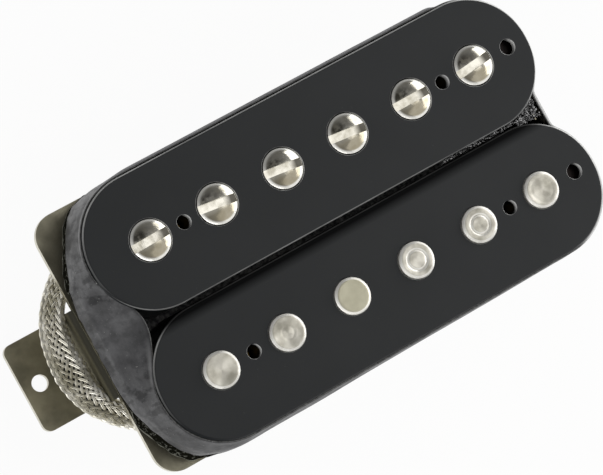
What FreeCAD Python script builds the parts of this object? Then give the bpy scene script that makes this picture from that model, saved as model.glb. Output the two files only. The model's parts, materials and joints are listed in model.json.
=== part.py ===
import FreeCAD, Part
import math
import os
import Sketcher

# A double-coil guitar pickup without a cover: two black moulded bobbins side by side on a folded
# nickel silver baseplate, one row of adjustable slotted pole screws and one row of fixed steel
# slugs, a bar magnet between them, black tape round both coils and a braided lead.
# X runs along the strings' spread, Y across the two rows (the screw row is at +Y), Z is up.
# The origin is on the ground, midway between the two feet. Lengths are in millimetres.

SIZES = {
    # layout of the poles
    "pole_count": 6,
    "pole_pitch": 9.9,
    "row_spacing": 18.4,
    "fit_gap": 0.1,
    # baseplate: one nickel silver sheet whose ends fold down into legs and out into feet
    "plate_length": 68.8,
    "plate_width": 37.0,
    "plate_thickness": 1.0,
    "plate_corner": 3.2,
    "stand_height": 15.4,
    "leg_width": 12.7,
    "leg_step": 0.7,
    "fold_radius": 0.5,
    "foot_length": 6.75,
    "foot_corner": 1.2,
    "foot_hole_setback": 4.3,
    "foot_hole_bore": 2.3,
    "plate_pole_bore": 4.2,
    "plate_fixing_bore": 2.4,
    "plate_wire_bore": 2.4,
    # bars on the baseplate
    "magnet_length": 63.5,
    "magnet_width": 12.7,
    "magnet_thickness": 3.2,
    "magnet_chamfer": 0.4,
    "keeper_length": 57.0,
    "keeper_width": 6.35,
    "spacer_length": 58.0,
    "spacer_width": 5.1,
    "spacer_round": 0.5,
    # bobbins
    "flange_length": 66.6,
    "flange_width": 17.7,
    "flange_corner": 8.6,
    "flange_thickness": 1.1,
    "flange_round": 0.3,
    "screw_bobbin_height": 10.2,
    "slug_bobbin_height": 9.9,
    "core_length": 57.6,
    "core_width": 6.8,
    "wire_hole_offset": 5.45,
    "wire_hole_bore": 2.1,
    "second_hole_offset": 2.4,
    "second_hole_bore": 1.2,
    # pole screws
    "head_diameter": 5.2,
    "head_edge_height": 1.2,
    "head_height": 1.9,
    "head_proud": 0.8,
    "head_gap": 0.2,
    "slot_width": 1.1,
    "slot_depth": 0.85,
    "pole_shank_diameter": 3.1,
    "pole_shank_length": 19.0,
    "pole_shank_gap": 0.25,
    "thread_gap": 0.15,
    "pole_tip_chamfer": 0.5,
    "screw_lowering": 0.7,
    # how far each pole screw has been turned, in degrees
    "screw_turn_1": 1.5,
    "screw_turn_2": -7.5,
    "screw_turn_3": -7.0,
    "screw_turn_4": -6.5,
    "screw_turn_5": 0.5,
    "screw_turn_6": 6.0,
    # slugs
    "slug_diameter": 4.76,
    "slug_length": 12.7,
    "slug_proud": 0.6,
    "slug_chamfer": 0.35,
    "slug_dish_diameter": 3.2,
    "slug_dish_depth": 0.12,
    # brass screws that hold the bobbins, driven from below
    "fixing_head_diameter": 3.6,
    "fixing_head_edge_height": 0.6,
    "fixing_head_height": 1.2,
    "fixing_slot_width": 0.6,
    "fixing_slot_depth": 0.5,
    "fixing_shank_diameter": 1.7,
    "fixing_shank_length": 9.5,
    "fixing_tip_chamfer": 0.4,
    # windings and their tapes
    "winding_build": 3.9,
    "coil_tape_thickness": 0.3,
    # tape round both coils
    "wrap_thickness": 0.5,
    "wrap_lift": 2.3,
    "wrap_top_drop": 0.6,
    "wrap_foot_offset": 0.75,
    "wrap_belly_offset": 0.95,
    "wrap_dip": 1.2,
    "wrap_leave_angle": 35.0,
    "wrap_belly_share": 0.55,
    # wires between the coils and the lead
    "core_wire_diameter": 1.2,
    "core_wire_bend": 1.5,
    "coil_wire_diameter": 0.9,
    "coil_wire_bend": 1.2,
    "wire_rise": 1.6,
    "splice_diameter": 2.0,
    "splice_length": 9.0,
    "splice_start": 8.0,
    "link_wire_clearance": 1.1,
    # braided lead
    "lead_diameter": 3.2,
    "solder_radius": 3.6,
    "solder_depth": 2.5,
    "solder_setback": 4.2,
    # rest of the lead, coiled on the ground below the baseplate
    "coil_quarter_count": 6,
    "coil_start_radius": 18.5,
    "coil_pitch": 3.8,
    "coil_end_tuck": 3.0,
    "tie_width": 1.6,
    "tie_thickness": 0.35,
    "end_wire_diameter": 1.4,
    "end_wire_length": 6.0,
    "end_tip_diameter": 0.7,
    "end_tip_length": 3.5,
}

# Free stretch of the braided lead, from its soldered end below the baseplate, out past one leg and
# above the foot, back below the plate and down to the coil. The last point starts the coil.
LEAD_ROUTE = [
    (-9.0, 14.3, 12.65),
    (-17.5, 14.9, 12.6),
    (-26.0, 14.2, 12.5),
    (-33.4, 11.7, 12.35),
    (-37.6, 6.8, 12.3),
    (-38.7, 0.3, 12.2),
    (-37.6, -6.2, 12.0),
    (-33.4, -11.2, 11.3),
    (-26.6, -14.3, 8.9),
    (-18.9, -16.5, 5.4),
    (-11.0, -17.9, 2.9),
    (-3.6, -18.35, 2.05),
    (3.0, -18.35, 2.05),
]

doc = FreeCAD.newDocument("guitar_pickup")
sheet = doc.addObject("Spreadsheet::Sheet", "Sizes")
for row, (alias, number) in enumerate(SIZES.items(), start=1):
    sheet.set(f"A{row}", alias)
    sheet.set(f"B{row}", str(number))
    sheet.setAlias(f"B{row}", alias)
doc.recompute()

# Levels and places that several pieces share, as expressions of the sheet's cells.
ROW_Y = "Sizes.row_spacing / 2"
PLATE_TOP = "Sizes.stand_height"
PLATE_UNDERSIDE = "Sizes.stand_height - Sizes.plate_thickness"
BARS_TOP = "Sizes.stand_height + Sizes.magnet_thickness"
SCREW_BOBBIN_TOP = f"{BARS_TOP} + Sizes.screw_bobbin_height"
SLUG_BOBBIN_TOP = f"{BARS_TOP} + Sizes.slug_bobbin_height"
SLUG_FACE_Y = "(Sizes.row_spacing + Sizes.slug_diameter) / 2"
FIXING_X = "2 * Sizes.pole_pitch"
WIRE_HOLE_X = "(Sizes.pole_count - 1) / 2 * Sizes.pole_pitch + Sizes.wire_hole_offset"
HEAD_SEAT_DEPTH = "Sizes.head_height - Sizes.head_proud + Sizes.screw_lowering + Sizes.fit_gap"
HEAD_SEAT_BORE = "Sizes.head_diameter + 2 * Sizes.head_gap"
POLE_SCREW_BORE = "Sizes.pole_shank_diameter + 2 * Sizes.pole_shank_gap"
SLUG_BORE = "Sizes.slug_diameter + 2 * Sizes.fit_gap"
FIXING_PLACES = [(f"{a} * {FIXING_X}", f"{b} * {ROW_Y}") for b in (1, -1) for a in (-1, 1)]
WINDING_LOW = f"{BARS_TOP} + Sizes.flange_thickness - Sizes.fit_gap"
WIRE_LEVEL = f"{PLATE_TOP} + Sizes.wire_rise"

# Share of the shorter run that each arc of the lead takes up.
ARC_SHARE = 0.45

# The coil's gaps are measured on points this share of its diameter apart, and points nearer along
# it than the second share are neighbours.
GAP_STEP_SHARE = 0.25
NEIGHBOUR_SHARE = 3

# Numbers nearer to each other than this are the same.
TOLERANCE = 1e-6


def number(expression):
    """The present value of an expression of the sheet's cells."""
    found = sheet.evalExpression(expression)
    return float(getattr(found, "Value", found))


def same(first, second):
    return abs(first - second) < TOLERANCE


def pole_places():
    """The X of each pole, as expressions, from one end to the other."""
    count = round(number("Sizes.pole_count"))
    return [f"{index - (count - 1) / 2} * Sizes.pole_pitch" for index in range(count)]


def new_body(label, x="", y="", z=""):
    body = doc.addObject("PartDesign::Body", label)
    body.Label = label
    for axis, place in (("x", x), ("y", y), ("z", z)):
        if place:
            body.setExpression(f"Placement.Base.{axis}", place)
    return body


def new_sketch(body, name, plane="XY_Plane", x="", y="", z=""):
    """A sketch on one of the body's own origin planes, moved along its own axes."""
    sketch = body.newObject("Sketcher::SketchObject", name)
    support = next(item for item in body.Origin.OriginFeatures if item.Role == plane)
    sketch.AttachmentSupport = [(support, "")]
    sketch.MapMode = "FlatFace"
    for axis, place in (("x", x), ("y", y), ("z", z)):
        if place:
            sketch.setExpression(f"AttachmentOffset.Base.{axis}", place)
    return sketch


def bound(sketch, constraint, expression):
    """Adds a constraint whose size follows an expression."""
    index = sketch.addConstraint(constraint)
    sketch.setExpression(f"Constraints[{index}]", expression)


def rounded_rectangle(sketch, length, width, corner):
    """A rectangle with round corners, centred on the sketch's origin."""
    half_x = number(length) / 2
    half_y = number(width) / 2
    radius = number(corner)
    flat_x = half_x - radius
    flat_y = half_y - radius
    up = FreeCAD.Vector(0, 0, 1)
    centres = [(flat_x, flat_y), (-flat_x, flat_y), (-flat_x, -flat_y), (flat_x, -flat_y)]
    arcs = []
    for quarter, (centre_x, centre_y) in enumerate(centres):
        circle = Part.Circle(FreeCAD.Vector(centre_x, centre_y, 0), up, radius)
        start = quarter * math.pi / 2
        arcs.append(sketch.addGeometry(Part.ArcOfCircle(circle, start, start + math.pi / 2)))
    sides = []
    ends = [
        ((flat_x, half_y), (-flat_x, half_y)),
        ((-half_x, flat_y), (-half_x, -flat_y)),
        ((-flat_x, -half_y), (flat_x, -half_y)),
        ((half_x, -flat_y), (half_x, flat_y)),
    ]
    for first, last in ends:
        line = Part.LineSegment(FreeCAD.Vector(*first, 0), FreeCAD.Vector(*last, 0))
        sides.append(sketch.addGeometry(line))
    for side, arc in enumerate(arcs):
        sketch.addConstraint(Sketcher.Constraint("Tangent", arc, 2, sides[side], 1))
        sketch.addConstraint(Sketcher.Constraint("Tangent", sides[side], 2, arcs[(side + 1) % 4], 1))
    for side, direction in enumerate(("Horizontal", "Vertical", "Horizontal", "Vertical")):
        sketch.addConstraint(Sketcher.Constraint(direction, sides[side]))
    for arc in arcs[1:]:
        sketch.addConstraint(Sketcher.Constraint("Equal", arcs[0], arc))
    sketch.addConstraint(Sketcher.Constraint("Symmetric", arcs[0], 3, arcs[2], 3, -1, 1))
    bound(sketch, Sketcher.Constraint("Radius", arcs[0], radius), corner)
    bound(
        sketch,
        Sketcher.Constraint("DistanceX", arcs[1], 3, arcs[0], 3, 2 * flat_x),
        f"{length} - 2 * {corner}",
    )
    bound(
        sketch,
        Sketcher.Constraint("DistanceY", arcs[3], 3, arcs[0], 3, 2 * flat_y),
        f"{width} - 2 * {corner}",
    )


def oblong(sketch, length, width):
    """Two straight sides and two half-round ends, centred on the sketch's origin."""
    radius = number(width) / 2
    flat = number(length) / 2 - radius
    up = FreeCAD.Vector(0, 0, 1)
    right = Part.Circle(FreeCAD.Vector(flat, 0, 0), up, radius)
    left = Part.Circle(FreeCAD.Vector(-flat, 0, 0), up, radius)
    arc_right = sketch.addGeometry(Part.ArcOfCircle(right, -math.pi / 2, math.pi / 2))
    top = Part.LineSegment(FreeCAD.Vector(flat, radius, 0), FreeCAD.Vector(-flat, radius, 0))
    side_top = sketch.addGeometry(top)
    arc_left = sketch.addGeometry(Part.ArcOfCircle(left, math.pi / 2, 3 * math.pi / 2))
    low = Part.LineSegment(FreeCAD.Vector(-flat, -radius, 0), FreeCAD.Vector(flat, -radius, 0))
    side_low = sketch.addGeometry(low)
    ring = [arc_right, side_top, arc_left, side_low]
    for item, after in zip(ring, ring[1:] + ring[:1]):
        sketch.addConstraint(Sketcher.Constraint("Tangent", item, 2, after, 1))
    sketch.addConstraint(Sketcher.Constraint("Horizontal", side_top))
    sketch.addConstraint(Sketcher.Constraint("Symmetric", arc_left, 3, arc_right, 3, -1, 1))
    bound(sketch, Sketcher.Constraint("Radius", arc_right, radius), f"({width}) / 2")
    bound(
        sketch,
        Sketcher.Constraint("DistanceX", arc_left, 3, arc_right, 3, 2 * flat),
        f"{length} - ({width})",
    )


def place_point(sketch, item, end, x, y):
    """Ties one point of a sketch to coordinates, or to an axis where a coordinate is nought."""
    value_x = number(x)
    value_y = number(y)
    if value_x == 0:
        sketch.addConstraint(Sketcher.Constraint("PointOnObject", item, end, -2))
    else:
        bound(sketch, Sketcher.Constraint("DistanceX", -1, 1, item, end, value_x), x)
    if value_y == 0:
        sketch.addConstraint(Sketcher.Constraint("PointOnObject", item, end, -1))
    else:
        bound(sketch, Sketcher.Constraint("DistanceY", -1, 1, item, end, value_y), y)


def circles(sketch, diameter, centres):
    """Equal circles at the given centres."""
    up = FreeCAD.Vector(0, 0, 1)
    for x, y in centres:
        centre = FreeCAD.Vector(number(x), number(y), 0)
        item = sketch.addGeometry(Part.Circle(centre, up, number(diameter) / 2))
        place_point(sketch, item, 3, x, y)
        bound(sketch, Sketcher.Constraint("Diameter", item, number(diameter)), diameter)


def outline(sketch, points):
    """A closed outline through points (x, y) or (x, y, centre x, centre y, turn).

    A point with a centre is reached by an arc about that centre, and turn is 1 for
    anticlockwise and -1 for clockwise. Other points are reached by a straight line.
    """
    spots = [FreeCAD.Vector(number(point[0]), number(point[1]), 0) for point in points]
    items = []
    ends = []
    for index, point in enumerate(points):
        before = spots[index - 1]
        spot = spots[index]
        if len(point) == 2:
            items.append(sketch.addGeometry(Part.LineSegment(before, spot)))
            ends.append((1, 2))
            continue
        centre = FreeCAD.Vector(number(point[2]), number(point[3]), 0)
        circle = Part.Circle(centre, FreeCAD.Vector(0, 0, 1), (spot - centre).Length)
        first, last = (before, spot) if point[4] == 1 else (spot, before)
        angles = [math.atan2(end.y - centre.y, end.x - centre.x) for end in (first, last)]
        items.append(sketch.addGeometry(Part.ArcOfCircle(circle, *angles)))
        ends.append((1, 2) if point[4] == 1 else (2, 1))
    for index, point in enumerate(points):
        after = (index + 1) % len(points)
        here = (items[index], ends[index][1])
        there = (items[after], ends[after][0])
        sketch.addConstraint(Sketcher.Constraint("Coincident", *here, *there))
        place_point(sketch, *here, point[0], point[1])
    for index, point in enumerate(points):
        if len(point) > 2:
            if number(point[2]) == 0:
                sketch.addConstraint(Sketcher.Constraint("PointOnObject", items[index], 3, -2))
            else:
                wide = Sketcher.Constraint("DistanceX", -1, 1, items[index], 3, number(point[2]))
                bound(sketch, wide, point[2])


def pad(body, sketch, length, both_ways=False):
    feature = body.newObject("PartDesign::Pad", sketch.Name + "_pad")
    feature.Profile = sketch
    feature.setExpression("Length", length)
    feature.Midplane = both_ways
    sketch.Visibility = False
    doc.recompute()
    return feature


def pocket(body, sketch, depth=""):
    """Cuts down from the sketch, right through unless a depth is given, and checks the cut."""
    before = body.Shape.Volume
    feature = body.newObject("PartDesign::Pocket", sketch.Name + "_pocket")
    feature.Profile = sketch
    if depth:
        feature.setExpression("Length", depth)
    else:
        feature.Type = "ThroughAll"
    sketch.Visibility = False
    doc.recompute()
    if body.Shape.Volume >= before:
        raise RuntimeError(f"{sketch.Name} cuts nothing")
    return feature


def revolve(body, sketch):
    feature = body.newObject("PartDesign::Revolution", sketch.Name + "_revolution")
    feature.Profile = sketch
    feature.ReferenceAxis = (sketch, ["V_Axis"])
    feature.Angle = 360
    sketch.Visibility = False
    doc.recompute()
    return feature


def edges_where(shape, wanted):
    """The names of the edges whose middle point and shape pass a test."""
    names = []
    for index, edge in enumerate(shape.Edges, start=1):
        if wanted(edge, edge.CenterOfMass):
            names.append(f"Edge{index}")
    return names


def dress(body, kind, size_name, size, wanted):
    """A Fillet or a Chamfer on the edges that pass a test."""
    base = body.Tip
    names = edges_where(base.Shape, wanted)
    if not names:
        raise RuntimeError(f"{body.Label} has no edge to dress")
    feature = body.newObject(f"PartDesign::{kind}", f"{body.Name}_{kind.lower()}")
    feature.Base = (base, names)
    feature.setExpression(size_name, size)
    doc.recompute()
    return feature


def baseplate():
    """Flat plate with holes, whose tongues fold down into legs and out into drilled feet."""
    body = new_body("baseplate")
    flat = new_sketch(body, "plate_outline", z=PLATE_UNDERSIDE)
    rounded_rectangle(flat, "Sizes.plate_length", "Sizes.plate_width", "Sizes.plate_corner")
    pad(body, flat, "Sizes.plate_thickness")

    thick = "Sizes.plate_thickness"
    inner = "Sizes.fold_radius"
    face = "Sizes.plate_length / 2 + Sizes.leg_step"
    back = f"{face} - {thick}"
    bend_x = f"{back} - {inner}"
    bend_z = f"{PLATE_UNDERSIDE} - {inner}"
    toe_x = f"{face} + {inner}"
    toe_z = f"{thick} + {inner}"
    tip = f"{face} + Sizes.foot_length"
    root = "(Sizes.plate_length - Sizes.leg_width) / 2"
    fold = new_sketch(body, "leg_fold", plane="XZ_Plane")
    outline(
        fold,
        [
            (root, PLATE_UNDERSIDE),
            (bend_x, PLATE_UNDERSIDE),
            (back, bend_z, bend_x, bend_z, -1),
            (back, toe_z),
            (toe_x, "0", toe_x, toe_z, 1),
            (tip, "0"),
            (tip, thick),
            (toe_x, thick),
            (face, toe_z, toe_x, toe_z, -1),
            (face, bend_z),
            (bend_x, PLATE_TOP, bend_x, bend_z, 1),
            (root, PLATE_TOP),
        ],
    )
    leg = pad(body, fold, "Sizes.leg_width", both_ways=True)
    mirrored = body.newObject("PartDesign::Mirrored", "second_leg")
    mirrored.Originals = [leg]
    side = next(item for item in body.Origin.OriginFeatures if item.Role == "YZ_Plane")
    mirrored.MirrorPlane = (side, [""])
    body.Tip = mirrored
    doc.recompute()

    def foot_corner(edge, middle):
        at_side = same(abs(middle.y), number("Sizes.leg_width / 2"))
        return at_side and same(abs(middle.x), number(tip))

    dress(body, "Fillet", "Radius", "Sizes.foot_corner", foot_corner)
    foot = new_sketch(body, "foot_holes", z=thick)
    spread = f"{face} + Sizes.foot_hole_setback"
    circles(foot, "Sizes.foot_hole_bore", [(f"-({spread})", "0"), (spread, "0")])
    pocket(body, foot)
    poles = new_sketch(body, "pole_screw_clearances", z=PLATE_TOP)
    circles(poles, "Sizes.plate_pole_bore", [(x, ROW_Y) for x in pole_places()])
    pocket(body, poles)
    fixings = new_sketch(body, "fixing_screw_holes", z=PLATE_TOP)
    circles(fixings, "Sizes.plate_fixing_bore", FIXING_PLACES)
    pocket(body, fixings)
    wire = new_sketch(body, "lead_wire_hole", z=PLATE_TOP)
    rise = core_wire_rise()
    circles(wire, "Sizes.plate_wire_bore", [(str(rise.x), str(rise.y))])
    pocket(body, wire)
    return body


def bar(label, length, width, y):
    """A bar that lies on the baseplate along X, as thick as the magnet."""
    body = new_body(label, y=y, z=PLATE_TOP)
    block = body.newObject("PartDesign::AdditiveBox", label + "_block")
    block.setExpression("Length", length)
    block.setExpression("Width", width)
    block.setExpression("Height", "Sizes.magnet_thickness")
    block.setExpression("Placement.Base.x", f"-({length}) / 2")
    block.setExpression("Placement.Base.y", f"-({width}) / 2")
    doc.recompute()
    return body


def lengthwise(edge, middle):
    """Whether an edge runs along X."""
    return same(abs(edge.tangentAt(edge.FirstParameter).x), 1)


def magnet_bar():
    """Cast bar magnet between the slugs and the keeper, touching neither by the fit gap."""
    face = f"-({ROW_Y} - Sizes.slug_diameter / 2 - Sizes.fit_gap)"
    body = bar(
        "magnet_bar",
        "Sizes.magnet_length",
        "Sizes.magnet_width",
        f"{face} + Sizes.magnet_width / 2",
    )
    dress(body, "Chamfer", "Size", "Sizes.magnet_chamfer", lengthwise)
    return body


def keeper_bar():
    """Steel bar that the pole screws thread through and the fixing screws pass through."""
    body = bar("keeper_bar", "Sizes.keeper_length", "Sizes.keeper_width", ROW_Y)
    poles = new_sketch(body, "keeper_threads", z="Sizes.magnet_thickness")
    bore = "Sizes.pole_shank_diameter + 2 * Sizes.thread_gap"
    circles(poles, bore, [(x, "0") for x in pole_places()])
    pocket(body, poles)
    fixings = new_sketch(body, "keeper_fixing_holes", z="Sizes.magnet_thickness")
    circles(fixings, "Sizes.plate_fixing_bore", [(f"-{FIXING_X}", "0"), (FIXING_X, "0")])
    pocket(body, fixings)
    return body


def spacer_bar():
    """Black plastic strip outside the slugs that carries the slug bobbin's outer side."""
    y = f"-({SLUG_FACE_Y} + Sizes.fit_gap + Sizes.spacer_width / 2)"
    body = bar("spacer_bar", "Sizes.spacer_length", "Sizes.spacer_width", y)
    dress(body, "Fillet", "Radius", "Sizes.spacer_round", lengthwise)
    return body


def bobbin(label, side, height, pole_bore, seat_bore):
    """Moulded bobbin: two round-ended flanges on an oblong core that holds the poles.

    seat_bore is the bore of the recess that takes each screw's head, or nothing for slugs.
    """
    body = new_body(label, y=f"{side} * {ROW_Y}", z=BARS_TOP)
    flange = ("Sizes.flange_length", "Sizes.flange_width", "Sizes.flange_corner")
    low = new_sketch(body, label + "_low_flange")
    rounded_rectangle(low, *flange)
    pad(body, low, "Sizes.flange_thickness")
    core = new_sketch(body, label + "_core")
    oblong(core, "Sizes.core_length", "Sizes.core_width")
    pad(body, core, height)
    top = new_sketch(body, label + "_top_flange", z=f"{height} - Sizes.flange_thickness")
    rounded_rectangle(top, *flange)
    pad(body, top, "Sizes.flange_thickness")

    def rim(edge, middle):
        return same(middle.z, 0) or same(middle.z, number(height))

    dress(body, "Fillet", "Radius", "Sizes.flange_round", rim)
    poles = new_sketch(body, label + "_pole_holes", z=height)
    circles(poles, pole_bore, [(x, "0") for x in pole_places()])
    pocket(body, poles)
    if seat_bore:
        seats = new_sketch(body, label + "_head_seats", z=height)
        circles(seats, seat_bore, [(x, "0") for x in pole_places()])
        pocket(body, seats, HEAD_SEAT_DEPTH)
    fixings = new_sketch(body, label + "_fixing_holes", z=height)
    bore = "Sizes.fixing_shank_diameter + 2 * Sizes.fit_gap"
    circles(fixings, bore, [(f"-{FIXING_X}", "0"), (FIXING_X, "0")])
    pocket(body, fixings)
    wire = new_sketch(body, label + "_wire_hole", z=height)
    circles(wire, "Sizes.wire_hole_bore", [(WIRE_HOLE_X, "0")])
    pocket(body, wire)
    second = new_sketch(body, label + "_second_wire_hole", z="Sizes.flange_thickness")
    circles(second, "Sizes.second_hole_bore", [(WIRE_HOLE_X, f"{-side} * Sizes.second_hole_offset")])
    pocket(body, second)
    return body


def ring(label, side, height, inside, outside):
    """An oblong ring between a bobbin's flanges, inside and outside measured from the core."""
    low = f"{BARS_TOP} + Sizes.flange_thickness"
    body = new_body(label, y=f"{side} * {ROW_Y}", z=low)
    sketch = new_sketch(body, label + "_outline")
    for grown in (inside, outside):
        oblong(sketch, f"Sizes.core_length + 2 * ({grown})", f"Sizes.core_width + 2 * ({grown})")
    pad(body, sketch, f"{height} - 2 * Sizes.flange_thickness")
    return body


def winding(label, side, height):
    """Thousands of turns of fine enamelled wire, as one solid round the bobbin's core."""
    return ring(label, side, height, "Sizes.fit_gap", "Sizes.winding_build")


def coil_tape(label, side, height):
    """Narrow tape round one winding."""
    inside = "Sizes.winding_build + Sizes.fit_gap"
    return ring(label, side, height, inside, f"{inside} + Sizes.coil_tape_thickness")


def pole_screw(index, x):
    """Slotted fillister screw: a domed head in the bobbin's recess and a long shank."""
    label = f"pole_screw_{index}"
    seat = f"{SCREW_BOBBIN_TOP} + Sizes.head_proud - Sizes.head_height"
    body = new_body(label, x=x, y=ROW_Y, z=seat)
    body.setExpression("Placement.Rotation.Angle", f"Sizes.screw_turn_{index}")
    sketch = new_sketch(body, label + "_profile", plane="XZ_Plane")
    rise = "(Sizes.head_height - Sizes.head_edge_height)"
    dome = f"((Sizes.head_diameter / 2) ^ 2 + {rise} ^ 2) / (2 * {rise})"
    tip = "-Sizes.pole_shank_length"
    shank = "Sizes.pole_shank_diameter / 2"
    outline(
        sketch,
        [
            ("0", tip),
            (f"{shank} - Sizes.pole_tip_chamfer", tip),
            (shank, f"{tip} + Sizes.pole_tip_chamfer"),
            (shank, "0"),
            ("Sizes.head_diameter / 2", "0"),
            ("Sizes.head_diameter / 2", "Sizes.head_edge_height"),
            ("0", "Sizes.head_height", "0", f"Sizes.head_height - {dome}", 1),
        ],
    )
    revolve(body, sketch)
    slot = new_sketch(body, label + "_slot", z="Sizes.head_height")
    wide = "Sizes.head_diameter + 2 * Sizes.head_gap"
    half_x = f"({wide}) / 2"
    half_y = "Sizes.slot_width / 2"
    corners = [(half_x, half_y), (f"-{half_x}", half_y), (f"-{half_x}", f"-{half_y}")]
    outline(slot, [*corners, (half_x, f"-{half_y}")])
    pocket(body, slot, "Sizes.slot_depth")
    return body


def slug(index, x):
    """Plain steel slug with a chamfered rim and a shallow turned dish on top."""
    label = f"slug_{index}"
    top = f"{SLUG_BOBBIN_TOP} + Sizes.slug_proud"
    body = new_body(label, x=x, y=f"-{ROW_Y}", z=top)
    sketch = new_sketch(body, label + "_profile", plane="XZ_Plane")
    radius = "Sizes.slug_diameter / 2"
    low = "-Sizes.slug_length"
    bevel = "Sizes.slug_chamfer"
    outline(
        sketch,
        [
            ("0", low),
            (f"{radius} - {bevel}", low),
            (radius, f"{low} + {bevel}"),
            (radius, f"-{bevel}"),
            (f"{radius} - {bevel}", "0"),
            ("Sizes.slug_dish_diameter / 2", "0"),
            ("0", "-Sizes.slug_dish_depth"),
        ],
    )
    revolve(body, sketch)
    return body


def fixing_screw(index, x, y):
    """Brass screw from below the baseplate into a bobbin's core, head downwards."""
    label = f"bobbin_fixing_screw_{index}"
    body = new_body(label, x=x, y=y, z=PLATE_UNDERSIDE)
    sketch = new_sketch(body, label + "_profile", plane="XZ_Plane")
    rise = "(Sizes.fixing_head_height - Sizes.fixing_head_edge_height)"
    dome = f"((Sizes.fixing_head_diameter / 2) ^ 2 + {rise} ^ 2) / (2 * {rise})"
    shank = "Sizes.fixing_shank_diameter / 2"
    tip = "Sizes.fixing_shank_length"
    outline(
        sketch,
        [
            ("0", tip),
            (f"{shank} - Sizes.fixing_tip_chamfer", tip),
            (shank, f"{tip} - Sizes.fixing_tip_chamfer"),
            (shank, "0"),
            ("Sizes.fixing_head_diameter / 2", "0"),
            ("Sizes.fixing_head_diameter / 2", "-Sizes.fixing_head_edge_height"),
            ("0", "-Sizes.fixing_head_height", "0", f"{dome} - Sizes.fixing_head_height", -1),
        ],
    )
    revolve(body, sketch)
    slot = new_sketch(body, label + "_slot", z="Sizes.fixing_slot_depth - Sizes.fixing_head_height")
    half_x = "Sizes.fixing_head_diameter / 2"
    half_y = "Sizes.fixing_slot_width / 2"
    corners = [(half_x, half_y), (f"-{half_x}", half_y), (f"-{half_x}", f"-{half_y}")]
    outline(slot, [*corners, (half_x, f"-{half_y}")])
    pocket(body, slot)
    return body


def keep_shape(label, shape):
    """A piece whose shape is worked out here from the sheet's sizes."""
    feature = doc.addObject("Part::Feature", label)
    feature.Label = label
    feature.Shape = shape
    return feature


def wrap_end(level, offset, bowed):
    """The wrap's outline round one pair of bobbin ends at one height, as edges towards -Y.

    The outline lies offset outside both flanges. Where it is bowed, the tape follows each
    round end and bows inwards between them. Otherwise it runs straight across.
    """
    radius = number("Sizes.flange_corner") + offset
    centre_x = number("Sizes.flange_length / 2 - Sizes.flange_corner")
    outer_y = number(f"{ROW_Y} + Sizes.flange_width / 2 - Sizes.flange_corner")
    inner_y = number(f"{ROW_Y} - Sizes.flange_width / 2 + Sizes.flange_corner")
    turn = math.radians(number("Sizes.wrap_leave_angle"))
    leave_y = inner_y - radius * math.sin(turn)

    def spot(x, y):
        return FreeCAD.Vector(x, y, level)

    def follow(angle):
        x = radius * math.cos(angle) if bowed else radius
        return spot(centre_x + x, inner_y - radius * math.sin(angle))

    nose_x = centre_x + radius
    diagonal = radius / math.sqrt(2)
    shoulder = spot(centre_x + diagonal, outer_y + diagonal)
    half = [
        Part.Arc(spot(centre_x, outer_y + radius), shoulder, spot(nose_x, outer_y)),
        Part.LineSegment(spot(nose_x, outer_y), spot(nose_x, inner_y)),
    ]
    leave = follow(turn)
    across = spot(leave.x, -leave_y)
    if bowed:
        half.append(Part.Arc(spot(nose_x, inner_y), follow(turn / 2), leave))
        middle = Part.Arc(leave, spot(leave.x - number("Sizes.wrap_dip"), 0), across)
    else:
        half.append(Part.LineSegment(spot(nose_x, inner_y), leave))
        middle = Part.LineSegment(leave, across)
    mirror = FreeCAD.Matrix()
    mirror.A22 = -1
    edges = [piece.toShape() for piece in half]
    mirrored = [edge.transformGeometry(mirror) for edge in edges]
    return [*edges, middle.toShape(), *reversed(mirrored)]


def wrap_outline(level, offset, bowed):
    """The wrap's whole closed outline at one height."""
    right = wrap_end(level, offset, bowed)
    left = [edge.rotated(FreeCAD.Vector(), FreeCAD.Vector(0, 0, 1), 180) for edge in right]
    side_x = number("Sizes.flange_length / 2 - Sizes.flange_corner")
    side_y = number(f"{ROW_Y} + Sizes.flange_width / 2") + offset
    sides = []
    for y in (side_y, -side_y):
        ends = [FreeCAD.Vector(x, y, level) for x in (-side_x, side_x)]
        sides.append(Part.LineSegment(*ends).toShape())
    sides[1].reverse()
    return Part.Wire([sides[0], *right, sides[1], *left])


def outer_wrap():
    """Black tape round both coils, bowed in between their ends at its upper edge."""
    low = number(f"{PLATE_TOP} + Sizes.wrap_lift")
    high = number(f"{SCREW_BOBBIN_TOP} - Sizes.wrap_top_drop")
    belly = low + (high - low) * number("Sizes.wrap_belly_share")
    thick = number("Sizes.wrap_thickness")
    levels = [
        (low, number("Sizes.wrap_foot_offset"), False),
        (belly, number("Sizes.wrap_belly_offset"), False),
        (high, number("Sizes.fit_gap") + thick, True),
    ]
    outside = Part.makeLoft([wrap_outline(*level) for level in levels], True, True)
    inner = [wrap_outline(level, offset - thick, bowed) for level, offset, bowed in levels]
    return keep_shape("outer_wrap", outside.cut(Part.makeLoft(inner, True, True)))


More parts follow.
